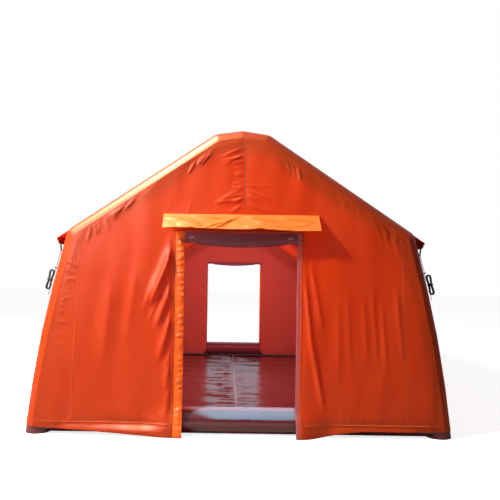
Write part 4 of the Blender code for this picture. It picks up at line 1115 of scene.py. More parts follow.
def wall_lift(x, z, seed):
    """Height of all the folds of an end wall."""
    lift = 0.0022 * waves(x, z, 9, 0.16, 0.42, 3.0, seed)
    lift += 0.0036 * waves(x, z, 5, 0.5, 1.1, 1.6, seed + 1)
    for start, end, width, height in LONG_FOLDS:
        lift += ridge(x, z, start, end, width, height)
    for number, (start, end, inward, count, reach, height) in enumerate(WALL_GATHERS):
        lift += gathers(x, z, start, end, inward, count, reach, height, seed + 10 + number)
    stitched = 0.004 * np.exp(-(((z - STITCH_Z) / 0.007) ** 2))
    off_flap = np.maximum(np.abs(z - AWNING_TOP) / 0.07, (np.abs(x) - AWNING_HALF) / 0.05)
    clear_of_door = smooth(np.maximum(beyond_door(x) / 0.05, (z - DOOR_TOP) / 0.12))
    return (lift + stitched) * clear_of_door * smooth(off_flap)


# Where the cloth goes, by how far it lies past the middle of the tube. It runs on
# flat to a welded seam, bends there by BEND_TURN, and then lies round the tube.
round_turns = np.linspace(BEND_TURN, math.pi / 2, 24)
PAST = [-9.0, BEND_AT, *(2 * BEND_AT + SKIN_R * (round_turns - BEND_TURN))]
REACH = [-9.0, BEND_AT, *(SKIN_R * np.sin(round_turns))]
BACK = [0.0, 0.0, *(SKIN_R * (1 - np.cos(round_turns)))]


def wall_place(seed):
    """The function that hangs a flat end wall on the front arch.

    A fold goes inwards only as far as the ground beam and the rolled curtain leave room.
    """

    def place(x, z):
        past, out_x, out_z = line_field(x, z)
        reach = np.interp(past, PAST, REACH)
        back = np.interp(past, PAST, BACK)
        free = smooth((BEND_AT - past) / 0.05)
        room = np.minimum((z - GROUND_BEAM_Z) ** 2 / (2 * TUBE_R), DEEPEST_FOLD)
        off_roll = np.maximum(np.abs(x) - ROLL_CLEAR_X, z - ROLL_CLEAR_Z)
        room *= smooth(off_roll / 0.05)
        lift = np.maximum(wall_lift(x, z, seed) * free, -room)
        y = -WALL_INSIDE + back - lift - flare_height(x, z)
        return x - out_x * (past - reach), y, z - out_z * (past - reach)

    return place


print("wall cloth reaches", round(WRAP_LENGTH, 3), "m past the arch's front line")

# %% Cutting the wall


def trim(bm, line, keep=False):
    """Cuts a flat cloth along a convex outline; with keep, it only adds the edge."""
    for start, normal in zip(line, normals(line)):
        everything = list(bm.verts) + list(bm.edges) + list(bm.faces)
        bmesh.ops.bisect_plane(
            bm,
            geom=everything,
            dist=1e-6,
            plane_co=(start.x, start.y, 0),
            plane_no=(normal.x, normal.y, 0),
            clear_outer=not keep,
        )


MERGE_WITHIN = 0.0004
LEAST_FACE = 2e-7  # square metres


def merge_points(bm):
    """Merges the points that cuts leave close together, and mends what that folds over.

    A face that the merging turns over, or that has hardly any area, is joined to
    the face beyond its longest edge.
    """
    bmesh.ops.remove_doubles(bm, verts=bm.verts, dist=MERGE_WITHIN)
    bm.normal_update()
    up = sum(face.normal.z * face.calc_area() for face in bm.faces)
    folds = {}  # not a set, whose order would differ from run to run
    for face in bm.faces:
        inner = [edge for edge in face.edges if len(edge.link_faces) == 2]
        if inner and (face.normal.z * up < 0 or face.calc_area() < LEAST_FACE):
            folds[max(inner, key=lambda edge: edge.calc_length())] = True
    bmesh.ops.dissolve_edges(bm, edges=list(folds), use_verts=False)
    bm.normal_update()


def delete_door(bm, left, right, top):
    """Removes the faces inside a door's outline."""
    inside = []
    for face in bm.faces:
        middle = face.calc_center_median()
        if left < middle.x < right and middle.y < top:
            inside.append(face)
    bmesh.ops.delete(bm, geom=inside, context="FACES")


def to_hem(bm):
    """Squeezes the lowest rows of a flat wall so that the first one is the hem."""
    for vert in bm.verts:
        if vert.co.y < HEM_ROW:
            hem = float(hem_height(vert.co.x))
            vert.co.y = hem + (HEM_ROW - hem) * vert.co.y / HEM_ROW


def end_wall(place_name, seed):
    """An end wall, cut flat, hung and turned to its end of the tent."""
    reach = FOOT_HALF + WRAP_LENGTH + 0.02
    columns = spaced(-reach, -WIDE_EDGE, 108)[:-1] + spaced(-WIDE_EDGE, NARROW_EDGE, 124)
    columns += spaced(NARROW_EDGE, reach, 110)[1:]
    rows = spaced(0, HEM_ROW, 8) + [0.117, STITCH_Z, 0.129] + spaced(0.14, DOOR_TOP, 132)
    rows += spaced(DOOR_TOP, RIDGE_Z + RIDGE_CROWN + WRAP_LENGTH, 108)[1:]
    bm = grid(columns, rows)
    delete_door(bm, -WIDE_EDGE, NARROW_EDGE, DOOR_TOP)
    to_hem(bm)
    trim(bm, offset_line(ARCH_LINE, WRAP_LENGTH))
    for edge in (BEND_AT - BEND_EASE, BEND_AT, BEND_AT + BEND_EASE, 2 * BEND_AT):
        trim(bm, offset_line(ARCH_LINE, edge), keep=True)
    merge_points(bm)
    flat, area = cut_size(bm)
    hang(bm, wall_place(seed), (0, -1, 0), place_name)
    nodes = (f"{place_name}_wall",)
    made = piece(f"{place_name}_end_wall", bm, cover_cloth, "tent", nodes)
    return thicken(made), flat, area


WALL_SEEDS = (("front", 5), ("rear", 47))
for place_name, seed in WALL_SEEDS:
    wall, flat, area = end_wall(place_name, seed)
    print(wall.name, len(wall.data.polygons), "faces, cut", flat, "m,", area, "square metres")

# %% [markdown]
# ## Stage and light
#
# The tent stands in a plain pale studio. A small warm lamp high on the left
# shapes the folds, and a second one rakes across the front from the side. A
# golden sun and a softbox, both on the left, give gloss and no other light. A
# lamp inside lights the beams and the liner. The studio is brighter to the
# camera than it is as light on the cloth.

# %% Stage and light


def stage_floor():
    """A plain pale floor, which throws back less light than it shows."""
    bm = bmesh.new()
    bmesh.ops.create_grid(bm, x_segments=1, y_segments=1, size=60)
    mesh = bpy.data.meshes.new("studio_floor")
    bm.to_mesh(mesh)
    bm.free()
    floor = bpy.data.objects.new("studio_floor", mesh)
    bpy.context.scene.collection.objects.link(floor)
    finish = Finish("studio_floor", (0.9, 0.9, 0.9), 0.95, Specular_IOR_Level=0.0)
    dull = finish.add("ShaderNodeBsdfDiffuse", {}, {"Color": (0.40, 0.36, 0.34, 1)})["BSDF"]
    seen = finish.add("ShaderNodeLightPath", {}, {})["Is Camera Ray"]
    finish.shader.inputs["Emission Color"].default_value = (1, 1, 1, 1)
    finish.shader.inputs["Emission Strength"].default_value = 0.8
    pale = Signal(finish, finish.shader.outputs[0])
    shown = finish.add("ShaderNodeMixShader", {}, {0: seen, 1: dull, 2: pale})[0]
    finish.link(shown, finish.output.inputs["Surface"])
    mesh.materials.append(finish.material)
    return floor


stage_floor()


def lamp(name, kind, strength, colour, **settings):
    """A lamp of any kind, with its own settings."""
    data = bpy.data.lights.new(name, kind)
    data.energy = strength
    data.color = colour
    for setting, value in settings.items():
        setattr(data, setting, value)
    made = bpy.data.objects.new(name, data)
    bpy.context.scene.collection.objects.link(made)
    return made


def aim(made, place, target):
    """Puts a lamp at a place and turns it towards a target."""
    away = Vector(place) - Vector(target)
    turn = away.to_track_quat("Z", "Y").to_matrix().to_4x4()
    made.matrix_world = Matrix.Translation(place) @ turn


WHITE = (1.0, 1.0, 1.0)
WARM = (1.0, 0.95, 0.86)
GOLDEN = (1.0, 0.84, 0.48)
key = lamp("key_lamp", "AREA", 830.0, WARM, shape="DISK", size=0.6)
aim(key, (-4.4, -4.6, 5.8), (0.0, -2.4, 1.3))
key.visible_glossy = False
rake = lamp("raking_lamp", "AREA", 340.0, WARM, shape="DISK", size=0.8)
aim(rake, (-5.8, -3.2, 3.7), (-0.6, -2.4, 1.9))
rake.visible_glossy = False
gloss = lamp("gloss_panel", "SUN", 26.0, GOLDEN, angle=math.radians(14))
aim(gloss, (-5.0, -1.2, 8.6), (0, 0, 0))
gloss.visible_diffuse = False
gloss.visible_transmission = False
softbox = lamp("softbox", "AREA", 460.0, WHITE, shape="SQUARE", size=2.4)
aim(softbox, (-4.0, -6.0, 3.9), (-1.0, -2.5, 1.9))
softbox.visible_diffuse = False
inside = lamp("inside_glow", "POINT", 330.0, WHITE, shadow_soft_size=0.5)
inside.matrix_world = Matrix.Translation((0.0, -0.4, 1.9))
inside.visible_glossy = False


def sky():
    """A studio that is white to the camera, and softer where it lights the cloth."""
    world = bpy.data.worlds.new("studio")
    world.use_nodes = True
    nodes = Nodes(world.node_tree)
    rays = nodes.add("ShaderNodeLightPath", {}, {})
    way = nodes.add("ShaderNodeTexCoord", {}, {})["Generated"]
    axes = nodes.add("ShaderNodeSeparateXYZ", {}, {0: way})
    behind = nodes.add("ShaderNodeMapRange", {}, {0: axes["Y"], 1: 0.0, 2: 0.5, 3: 0.10, 4: 0.6})
    above = nodes.add("ShaderNodeMapRange", {}, {0: axes["Z"], 1: 0.25, 2: 0.8, 3: 0.0, 4: 0.5})
    mirrored = behind[0] + above[0]
    glossy = rays["Is Glossy Ray"]
    lights = nodes.add("ShaderNodeMix", {}, {0: glossy, 2: 0.17, 3: mirrored})[0]
    seen = nodes.add("ShaderNodeMix", {}, {0: rays["Is Camera Ray"], 2: lights, 3: 1.0})[0]
    colours = {6: (1, 1, 1, 1), 7: (0.80, 0.88, 1.0, 1)}
    tint = nodes.add("ShaderNodeMix", {"data_type": "RGBA"}, {0: glossy, **colours})[2]
    background = world.node_tree.nodes["Background"]
    nodes.link(tint, background.inputs["Color"])
    nodes.link(seen, background.inputs["Strength"])
    bpy.context.scene.world = world


sky()
bpy.context.scene.view_settings.view_transform = "Standard"
print("lamps and sky are set")

# %% [markdown]
# ## Seams
#
# Panels are joined with flat felled seams: a band a finger wide, a little
# proud of the cloth, with two rows of stitches. A ribbon is laid on the same
# function that hangs the panel, so it follows every fold, and its stitches
# are drawn from its own flat coordinates.

# %% Stitched bands
STITCH_ROW = 0.0042  # from the band's middle to a row of stitches
STITCH_HALF = 0.0007
STITCHES_PER_METRE = 220.0
STITCH_SHARE = 0.68  # the part of each stitch that is thread and not gap


def stitched_cloth(name, colour, dark, thread, roughness):
    """Doubled cloth with two rows of stitches along it."""
    finish = Finish(name, colour, roughness, Specular_IOR_Level=0.25)
    place = finish.cloth_place()
    parts = finish.add("ShaderNodeSeparateXYZ", {}, {"Vector": place})
    across, along = parts["X"], parts["Y"]
    rows = 0.0
    for side in (-1, 1):
        inputs = {0: across, 1: side * STITCH_ROW, 2: STITCH_HALF}
        rows = rows + finish.add("ShaderNodeMath", {"operation": "COMPARE"}, inputs)["Value"]
    steps = along * STITCHES_PER_METRE
    dashes = finish.add("ShaderNodeMath", {"operation": "FRACT"}, {0: steps})["Value"]
    inputs = {0: dashes, 1: STITCH_SHARE}
    thread_runs = finish.add("ShaderNodeMath", {"operation": "LESS_THAN"}, inputs)["Value"]
    stitches = rows * thread_runs
    cloudy = finish.noise(place, 25.0)
    base = finish.mixed(cloudy, dark, colour)
    finish.colour(finish.mixed(stitches, base, thread))
    pucker = finish.noise(finish.stretched(place, (30.0, 90.0, 1.0)), 1.0, 2.0)
    finish.relief(stitches * 0.5 + pucker, 0.002, 0.7)
    return finish.material


cover_seam = stitched_cloth(
    "cover_seam", linear(204, 68, 8), linear(190, 56, 6), linear(172, 48, 8), 0.5
)
dark_seam = stitched_cloth(
    "dark_seam", linear(172, 50, 8), linear(158, 41, 6), linear(140, 36, 10), 0.6
)
# Painted highlight: the flap's seams carry the flap's painted lighter, yellower colour
sunlit_flap_seam = stitched_cloth(
    "sunlit_flap_seam", linear(250, 130, 34), linear(238, 106, 24), linear(218, 84, 20), 0.5
)
floor_seam = stitched_cloth(
    "floor_seam", linear(122, 100, 106), linear(92, 70, 78), linear(180, 165, 168), 0.35
)


def surface_normals(place, u, v):
    """Points and unit normals of a hung cloth at flat places, by small steps."""
    step = 0.002
    here = np.stack(place(u, v), axis=1)
    by_u = np.stack(place(u + step, v), axis=1) - np.stack(place(u - step, v), axis=1)
    by_v = np.stack(place(u, v + step), axis=1) - np.stack(place(u, v - step), axis=1)
    square = np.cross(by_u, by_v)
    return here, square / np.linalg.norm(square, axis=1)[:, None]


SEAM_STEP = 0.02


def seam(name, place, route, width, finish, lift=0.0008, matrix=None, outwards=1.0):
    """A stitched band laid on a hung cloth along a route in its flat coordinates."""
    total = path_length(route)
    count = max(int(total / SEAM_STEP), 2)
    lengths = lengths_along(route)
    bm = grid([-width / 2, -width / 4, 0, width / 4, width / 2], spaced(0, total, count))
    lay_uv(bm)

    def on_route(along):
        return [np.interp(along, lengths, [Vector(p)[axis] for p in route]) for axis in (0, 1)]

    def lay(across, along):
        u, v = on_route(along)
        ahead_u, ahead_v = on_route(along + SEAM_STEP / 2)
        behind_u, behind_v = on_route(along - SEAM_STEP / 2)
        run_u, run_v = ahead_u - behind_u, ahead_v - behind_v
        scale = np.maximum(np.hypot(run_u, run_v), 1e-9)
        u, v = u + across * run_v / scale, v - across * run_u / scale
        here, normal = surface_normals(place, u, v)
        edge = 1 - (np.abs(across) * 2 / width) ** 4 * 0.6
        raised = here + outwards * normal * (CLOTH_T + lift * edge)[:, None]
        return raised[:, 0], raised[:, 1], raised[:, 2]

    shape(bm, lay)
    if matrix:
        bm.transform(matrix)
    bmesh.ops.recalc_face_normals(bm, faces=bm.faces)
    return piece(name, bm, finish, "tent")


door_frame = [(-WIDE_EDGE - 0.012, 0.13), (-WIDE_EDGE - 0.012, DOOR_TOP + 0.012)]
door_frame += [(NARROW_EDGE + 0.012, DOOR_TOP + 0.012), (NARROW_EDGE + 0.012, 0.13)]
WALL_SEAMS = {
    "middle": ([(0.03, 2.20), (0.03, 2.84)], 0.014),
    "right_leg": ([(1.60, 0.14), (1.53, 1.78)], 0.014),
    "left_leg": ([(-1.60, 0.14), (-1.53, 1.78)], 0.014),
    "left_hem": ([(-1.80, STITCH_Z), (-0.66, STITCH_Z)], 0.012),
    "right_hem": ([(0.62, STITCH_Z), (1.80, STITCH_Z)], 0.012),
    "door_left": (door_frame[:2], 0.014),
    "door_top": (door_frame[1:3], 0.014),
    "door_right": (door_frame[2:], 0.014),
}
for place_name, seed in WALL_SEEDS:
    for seam_name, (route, width) in WALL_SEAMS.items():
        name = f"{place_name}_{seam_name}_seam"
        matrix = turned_to(place_name)
        finish = dark_seam if seam_name == "middle" else cover_seam
        seam(name, wall_place(seed), route, width, finish, matrix=matrix)
print(2 * len(WALL_SEAMS), "seams on the end walls")

# %% [markdown]
# ## Roof
#
# The roof is one sheet from eave to eave. Past each eave it stands out as a
# flap, and a short valance hangs from the flap's edge, so rain drips clear of
# the side wall. Between the arches nothing carries the sheet, so it sags a
# little, and fine folds fan out from the places where it is pulled.

# %% Roof cover
FLAP_OVERHANG = 0.145
VALANCE_DROP = 0.06
VALANCE_LEAN = math.radians(25)
ARCH_BAND = 0.14
ROOF_SAG = 0.02
ROOF_GATHER_U = (0.25, 1.75)  # from a valance's hem towards the ridge
EDGE_SEAM = 0.02  # from the cloth's end to the seam along it


def between_arches(y):
    """0 over an arch, 1 midway between two."""
    share = np.clip((np.abs(y) - ARCH_BAND) / (ARCH_Y - 2 * ARCH_BAND), 0, 1)
    return np.sin(math.pi * share) ** 2


def roof_section():
    """The roof's cross line from valance to valance, with the eave tip and its hem."""
    over = offset_line(ARCH_LINE, SKIN_R)
    ridge, eave = over[RIGHT_EAVE - 1], over[RIGHT_EAVE]
    tip = eave + (eave - ridge).normalized() * FLAP_OVERHANG
    drop = Vector((-math.sin(VALANCE_LEAN), -math.cos(VALANCE_LEAN))) * VALANCE_DROP
    top = [Vector((-tip.x, tip.y))] + over[LEG_STEPS + 1 : RIGHT_EAVE] + [tip]
    path = rounded(top, 0.07)
    hem = tip + drop
    return [Vector((-hem.x, hem.y))] + path + [hem], tip, hem


section, roof_tip, roof_hem = roof_section()
section_u = lengths_along(section)
section_x = [point.x for point in section]
section_z = [point.y for point in section]
ROOF_WIDTH = float(section_u[-1])
ROOF_END = ARCH_Y - SEAT_GAP / 2


def roof_folds(u, y):
    """Heights of the roof's folds: gathers off the arches, and slow waves."""
    lift = 0.003 * waves(u, y, 7, 0.25, 0.7, 1.5, 71)
    for number, edge in enumerate((-ARCH_Y + 0.12, -0.12, 0.12, ARCH_Y - 0.12)):
        inward = 1 if number in (0, 2) else -1
        low, high = ROOF_GATHER_U
        for half, (start, end) in enumerate(((low, high), (ROOF_WIDTH - high, ROOF_WIDTH - low))):
            seam_ends = (start, edge), (end, edge)
            seed = 200 + 10 * number + half
            lift += gathers(u, y, *seam_ends, (0, inward), 15, 0.34, 0.009, seed, 2.0)
    return lift * np.clip(between_arches(y) * 3 + 0.1, 0, 1)


def roof_place(u, y):
    """Hangs the flat roof over the arches."""
    x = np.interp(u, section_u, section_x)
    z = np.interp(u, section_u, section_z)
    sag = ROOF_SAG * between_arches(y) * smooth(3 * (EAVE_HALF - np.abs(x)) / EAVE_HALF)
    loose = smooth((np.abs(x) - roof_tip.x + 0.02) / 0.02)
    flutter = 0.006 * waves(y, u, 6, 0.18, 0.5, 9.0, 83) * loose
    lift = roof_folds(u, y) * (1 - loose)
    return x + np.sign(x) * flutter, y, z - sag + lift + flutter * 0.5


eave_rows = [float(section_u[1]), ROOF_WIDTH - float(section_u[1])]
roof_us = sorted(set(spaced(0, ROOF_WIDTH, 150) + eave_rows))
bm = grid(roof_us, spaced(-ROOF_END, ROOF_END, 140))
hang(bm, roof_place, (0, 0, 1))
roof = thicken(piece("roof_sheet", bm, cover_cloth, "tent", ("roof_cover",)))
roof_seams = [[(u, y) for u in (0.10, ROOF_WIDTH / 2, ROOF_WIDTH - 0.10)] for y in (-0.13, 0.13)]
end_ys = (-ARCH_Y + EDGE_SEAM, ARCH_Y - EDGE_SEAM)
roof_seams += [[(0.22, y), (ROOF_WIDTH - 0.22, y)] for y in end_ys]
hem_us = (0.075, ROOF_WIDTH - 0.075)
roof_seams += [[(u, -ROOF_END + 0.01), (u, ROOF_END - 0.01)] for u in hem_us]
for number, route in enumerate(roof_seams):
    seam(f"roof_seam_{number}", roof_place, route, 0.014, cover_seam)
print("roof", round(ROOF_WIDTH, 3), "m wide,", len(roof.data.polygons), "faces")

# %% [markdown]
# ## Side walls
#
# A side wall starts under the roof's flap and ends above the ground, so that
# the cloth can't rub on it. It is pulled tight over the legs and hangs slack
# between them.

# %% Side walls
SIDE_SAG = 0.02
SIDE_SAG_FROM = 0.3


def side_top():
    """Height where the side wall ends, just under the roof."""
    inner = offset_line(ARCH_LINE, SKIN_R)[RIGHT_EAVE:]
    outer = offset_line(ARCH_LINE, OUTER_R)[RIGHT_EAVE]
    rafter = normals(ARCH_LINE)[RIGHT_EAVE - 1]
    run = (inner[1] - inner[0]).normalized()
    over = (outer - inner[0]).dot(rafter)
    return (inner[0] + run * ((over + SEAT_GAP) / abs(run.dot(rafter)))).y - 0.002


SIDE_TOP = side_top()


def side_folds(y, z, seed):
    """Heights of the side wall's folds: slack waves, and gathers at its edges."""
    lift = 0.003 * waves(y, z, 9, 0.14, 0.5, 3.5, seed)
    bays = ((-ARCH_Y + ARCH_BAND, -ARCH_BAND), (ARCH_BAND, ARCH_Y - ARCH_BAND))
    rows = ((0.10, 1, 22, 0.28, 3), (1.82, -1, 18, 0.35, 5))
    for number, (start, end) in enumerate(bays):
        for row, up, count, reach, step in rows:
            ends = (start, row), (end, row)
            chance = seed + step + number
            lift += gathers(y, z, *ends, (0, up), count, reach, 0.010, chance, 1.8)
    for bay in bays:
        for edge, inward in zip(bay, (1, -1)):
            ends = (edge, 0.3), (edge, 1.7)
            lift += gathers(y, z, *ends, (inward, -0.25), 14, 0.24, 0.008, seed + 9, 1.8)
    return lift


def side_place(side, seed):
    """The function that hangs a side wall on the legs."""

    def place(y, z):
        up = np.clip((z - SIDE_SAG_FROM) / (SIDE_TOP - SIDE_SAG_FROM), 0, 1)
        sag = SIDE_SAG * between_arches(y) * np.sin(math.pi * up)
        slack = np.clip(between_arches(y) * 2.5 + 0.06, 0, 1) * smooth((SIDE_TOP - z) / 0.06)
        lift = np.maximum(side_folds(y, z, seed), -0.01) * slack * np.where(z < 0.26, 0.5, 1.0)
        return side * (legs_x(z, SKIN_R) - sag + lift), y, z

    return place


for side, side_name, seed in ((-1, "left", 301), (1, "right", 351)):
    bm = grid(spaced(-ROOF_END, ROOF_END, 160), spaced(HEM_Z, SIDE_TOP, 64))
    place = side_place(side, seed)
    hang(bm, place, (side, 0, 0))
    name = f"{side_name}_side_sheet"
    wall = thicken(piece(name, bm, cover_cloth, "tent", (f"{side_name}_side_wall",)))
    seam_ys = (-ARCH_Y + EDGE_SEAM, -0.13, 0.13, ARCH_Y - EDGE_SEAM)
    routes = [[(y, 0.13), (y, SIDE_TOP - 0.03)] for y in seam_ys]
    routes.append([(-ROOF_END + 0.01, STITCH_Z), (ROOF_END - 0.01, STITCH_Z)])
    for number, route in enumerate(routes):
        seam(f"{side_name}_side_seam_{number}", place, route, 0.014, cover_seam, outwards=side)
    print(wall.name, len(wall.data.polygons), "faces")

# %% [markdown]
# ## Inner curtain at the rear
#
# Behind the rear arch's tube hangs a second wall of thinner cloth. It runs
# over the rear ground beam to the floor, so seen from inside it hides the
# tubes, and the daylight behind it makes it glow.

# %% Rear liner
LINER_HEM_Z = 0.02
LINER_RETURN = 0.25
LINER_SLACK = 0.03
LINER_EASE = 0.3
LINER_DOOR_TOP = DOOR_TOP - 0.08
LINER_T = 0.0015


def liner_place(x, z):
    """Hangs the flat liner from the rear arch and down over its ground beam."""
    inset = -line_field(x, z)[0] - TUBE_R - SEAT_GAP
    over_beam = 1 - smooth((z - 2 * TUBE_R - LINER_SLACK) / LINER_EASE)
    share = np.maximum(smooth(inset / LINER_RETURN), over_beam)
    y = ARCH_Y - SEAT_GAP - CAD_CLOTH_T - (TUBE_R - CAD_CLOTH_T / 2) * share
    lift = 0.004 * waves(x, z, 8, 0.15, 0.5, 3.0, 401)
    for side in (-1, 1):
        start, end = (side * 0.56, 1.86), (side * 0.56, 0.3)
        lift += gathers(x, z, start, end, (side, -0.3), 12, 0.3, 0.008, 410 + side, 2.0)
        start, end = (side * 0.56, 0.05), (side * 1.6, 0.05)
        lift += gathers(x, z, start, end, (0, 1), 10, 0.3, 0.01, 420 + side, 2.0)
    lift += gathers(x, z, (-0.6, 1.92), (0.6, 1.92), (0, 1), 12, 0.25, 0.008, 430, 2.0)
    lift += gathers(x, z, (-1.2, 2.1), (-0.2, 2.58), (0.4, -0.9), 9, 0.3, 0.007, 440, 2.0)
    corner = smooth(1 - (np.abs(np.abs(x) - DOOR_HALF) + z) / 0.14)
    held = smooth(inset / 0.08)
    return x + np.sign(x) * 0.05 * corner, y - np.maximum(lift, 0) * held, z + 0.012 * corner


reach = leg_x(GROUND_BEAM_Z, 0) - TUBE_R - 0.006
columns = spaced(-reach, -DOOR_HALF, 36) + spaced(-DOOR_HALF, DOOR_HALF, 30)[1:]
columns += spaced(DOOR_HALF, reach, 36)[1:]
rows = spaced(LINER_HEM_Z, LINER_DOOR_TOP, 58)
rows += spaced(LINER_DOOR_TOP, RIDGE_Z - TUBE_R, 26)[1:]
bm = grid(columns, rows)
delete_door(bm, -DOOR_HALF, DOOR_HALF, LINER_DOOR_TOP)
trim(bm, offset_line(ARCH_LINE, -TUBE_R - SEAT_GAP))
bmesh.ops.remove_doubles(bm, verts=bm.verts, dist=0.0015)
liner_flat, liner_area = cut_size(bm)
hang(bm, liner_place, (0, -1, 0))
liner = piece("rear_liner_sheet", bm, liner_cloth, "tent", ("rear_liner",))
thicken(liner, LINER_T, -1.0)
print(liner.name, "cut", liner_flat, "m,", liner_area, "square metres")

# %% [markdown]
# ## Floor
#
# The groundsheet is heavy coated cloth, tucked under the ground beams. It was
# folded for transport, so it never lies quite flat: creases run across it and
# gather at the seam down its middle.

# %% Groundsheet
FLOOR_TUCK = 0.036
FLOOR_X = leg_x(GROUND_BEAM_Z, 0) - FLOOR_TUCK
FLOOR_Y = ARCH_Y - FLOOR_TUCK


def floor_place(x, y):
    """Lays the floor, with creases up from the ground and notches round the legs."""
    lift = 0.004 + 0.003 * waves(x, y, 7, 0.25, 0.8, 0.7, 501)
    lift += gathers(x, y, (0, -2.1), (0, 2.1), (-1, 0.05), 52, 0.55, 0.017, 510)
    lift += gathers(x, y, (0, -2.1), (0, 2.1), (1, -0.05), 34, 0.35, 0.010, 520)
    lift += gathers(x, y, (0.75, -2.0), (0.75, 2.0), (-0.9, 0.6), 16, 0.3, 0.005, 530)
    free = smooth((FLOOR_X - 0.1 - np.abs(x)) / 0.15) * smooth((FLOOR_Y - 0.1 - np.abs(y)) / 0.15)
    z = 0.0004 + np.maximum(lift, 0) * free
    for side in (-1, 1):
        for leg_y in ARCH_PLACES.values():
            gap_x, gap_y = x - side * FOOT_HALF, y - leg_y
            distance = np.maximum(np.hypot(gap_x, gap_y), 1e-9)
            push = np.maximum(TUBE_R + 0.01 - distance, 0) / distance
            x, y = x + gap_x * push, y + gap_y * push
    return x, y, z


bm = grid(spaced(-FLOOR_X, FLOOR_X, 110), spaced(-FLOOR_Y, FLOOR_Y, 330))
hang(bm, floor_place, (0, 0, 1))
floor_sheet = piece("floor_sheet", bm, floor_cloth, "tent", ("groundsheet",))
thicken(floor_sheet, 0.0015)
round(2 * FLOOR_X, 2)
seam("floor_middle_seam", floor_place, [(0, -2.24), (0, 2.24)], 0.02, floor_seam, 0.0012)
print(floor_sheet.name, len(floor_sheet.data.polygons), "faces")

# %% [markdown]
# ## Rain flaps
#
# The flap over a door is a strip of the same cloth, doubled along its hem and
# sewn on by its top edge. It stands off the wall because its hem is stiff, so
# the sun strikes it more squarely than the wall, and it looks much lighter. Its
# colour is painted lighter and yellower than the wall's cloth too, as a painted
# highlight.

# %% Rain flaps over the doors
AWNING_DEPTH = 0.20
AWNING_TILT = math.radians(40)
AWNING_AXIS_Y = LENGTH / 2 + SEAT_GAP + CAD_CLOTH_T / 2
AWNING_TAPER = 0.055  # how much deeper the flap's right end is than its middle
FLAP_WAVE = 0.006
FLAP_CREASE = 1.5

# Each crease of the flap runs from one point to another (x, down), width, height
FLAP_FOLDS = (
    ((-0.72, 0.06), (-0.30, 0.19), 0.016, 0.010),
    ((-0.36, 0.20), (-0.03, 0.05), 0.013, 0.012),
    ((-0.28, 0.21), (-0.10, 0.09), 0.009, 0.008),
    ((-0.52, 0.02), (-0.16, 0.07), 0.012, 0.008),
    ((-0.60, 0.15), (-0.44, 0.20), 0.010, 0.006),
    ((0.02, 0.03), (0.34, 0.10), 0.011, 0.010),
    ((0.10, 0.09), (0.46, 0.20), 0.014, 0.009),
    ((0.34, 0.04), (0.70, 0.10), 0.012, 0.011),
    ((0.40, 0.16), (0.66, 0.13), 0.010, 0.007),
    ((0.02, 0.16), (0.22, 0.21), 0.010, 0.008),
)


def awning_place(seed):
    """The function that hangs a rain flap from its seam."""

    def place(x, drop):
        share = drop / AWNING_DEPTH
        ripple = FLAP_WAVE * np.sin(x * 9.0) * share
        ripple += 0.0024 * waves(x, drop, 7, 0.12, 0.34, 1.4, seed) * smooth(share * 1.5)
        for start, end, width, height in FLAP_FOLDS:
            ripple += FLAP_CREASE * ridge(x, drop, start, end, width, height)
        drop = drop * (1 + AWNING_TAPER * x / AWNING_HALF)
        ripple *= smooth(share * 4)
        out = drop * math.sin(AWNING_TILT) + ripple * math.cos(AWNING_TILT)
        down = drop * math.cos(AWNING_TILT) - ripple * math.sin(AWNING_TILT)
        return x, -AWNING_AXIS_Y - out, AWNING_TOP - down

    return place


for place_name, seed in (("front", 601), ("rear", 631)):
    bm = grid(spaced(-AWNING_HALF, AWNING_HALF, 210), spaced(0, AWNING_DEPTH, 30))
    place = awning_place(seed)
    hang(bm, place, (0, -1, 0), place_name)
    body = f"{place_name}_awning"
    flap = piece(f"{place_name}_rain_flap", bm, sunlit_awning_cloth, body, (body,))
    thicken(flap, CLOTH_T, 0)
    hem = AWNING_DEPTH - 0.012
    routes = {"hem": [(-AWNING_HALF + 0.006, hem), (AWNING_HALF - 0.006, hem)]}
    end = AWNING_HALF - 0.012
    for seam_name, x in (("middle", 0.01), ("left_end", -end), ("right_end", end)):
        routes[seam_name] = [(x, 0.004), (x, AWNING_DEPTH - 0.004)]
    for seam_name, route in routes.items():
        name = f"{place_name}_flap_{seam_name}"
        matrix = turned_to(place_name)
        band = seam(name, place, route, 0.014, sunlit_flap_seam, -0.0004, matrix, outwards=-1.0)
        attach(band, body)
    print(flap.name, len(flap.data.polygons), "faces")

# %% [markdown]
# ## Strips down the door's edges
#
# Each side of the door ends in a strip that carries half of the closing. The
# wide one is drawn up by its zip, so its free edge is ruffled; the narrow one
# is a plain binding in the curtain's colour.

# %% Door strips


def strip_place(outer, inner, ruffle, seed):
    """The function that hangs a strip; its free edge is the inner one."""

    def place(x, z):
        share = (x - outer) / (inner - outer)
        wave = waves(z, x * 0.4, 6, 0.045, 0.09, 8.0, seed)
        ends = (inner, 0.2), (inner, 1.86)
        drawn = gathers(x, z, *ends, (-0.94, -0.34), 44, 0.09, ruffle * 1.1, seed)
        trough = np.exp(-(((share - 0.55) / 0.25) ** 2))
        frill = ruffle * wave * smooth(share) - ruffle * 0.6 * trough
        frill -= drawn
        loose = smooth((DOOR_TOP - z) / 0.06)
        return x, -WALL_INSIDE - flare_height(x, z) + frill * loose, z

    return place


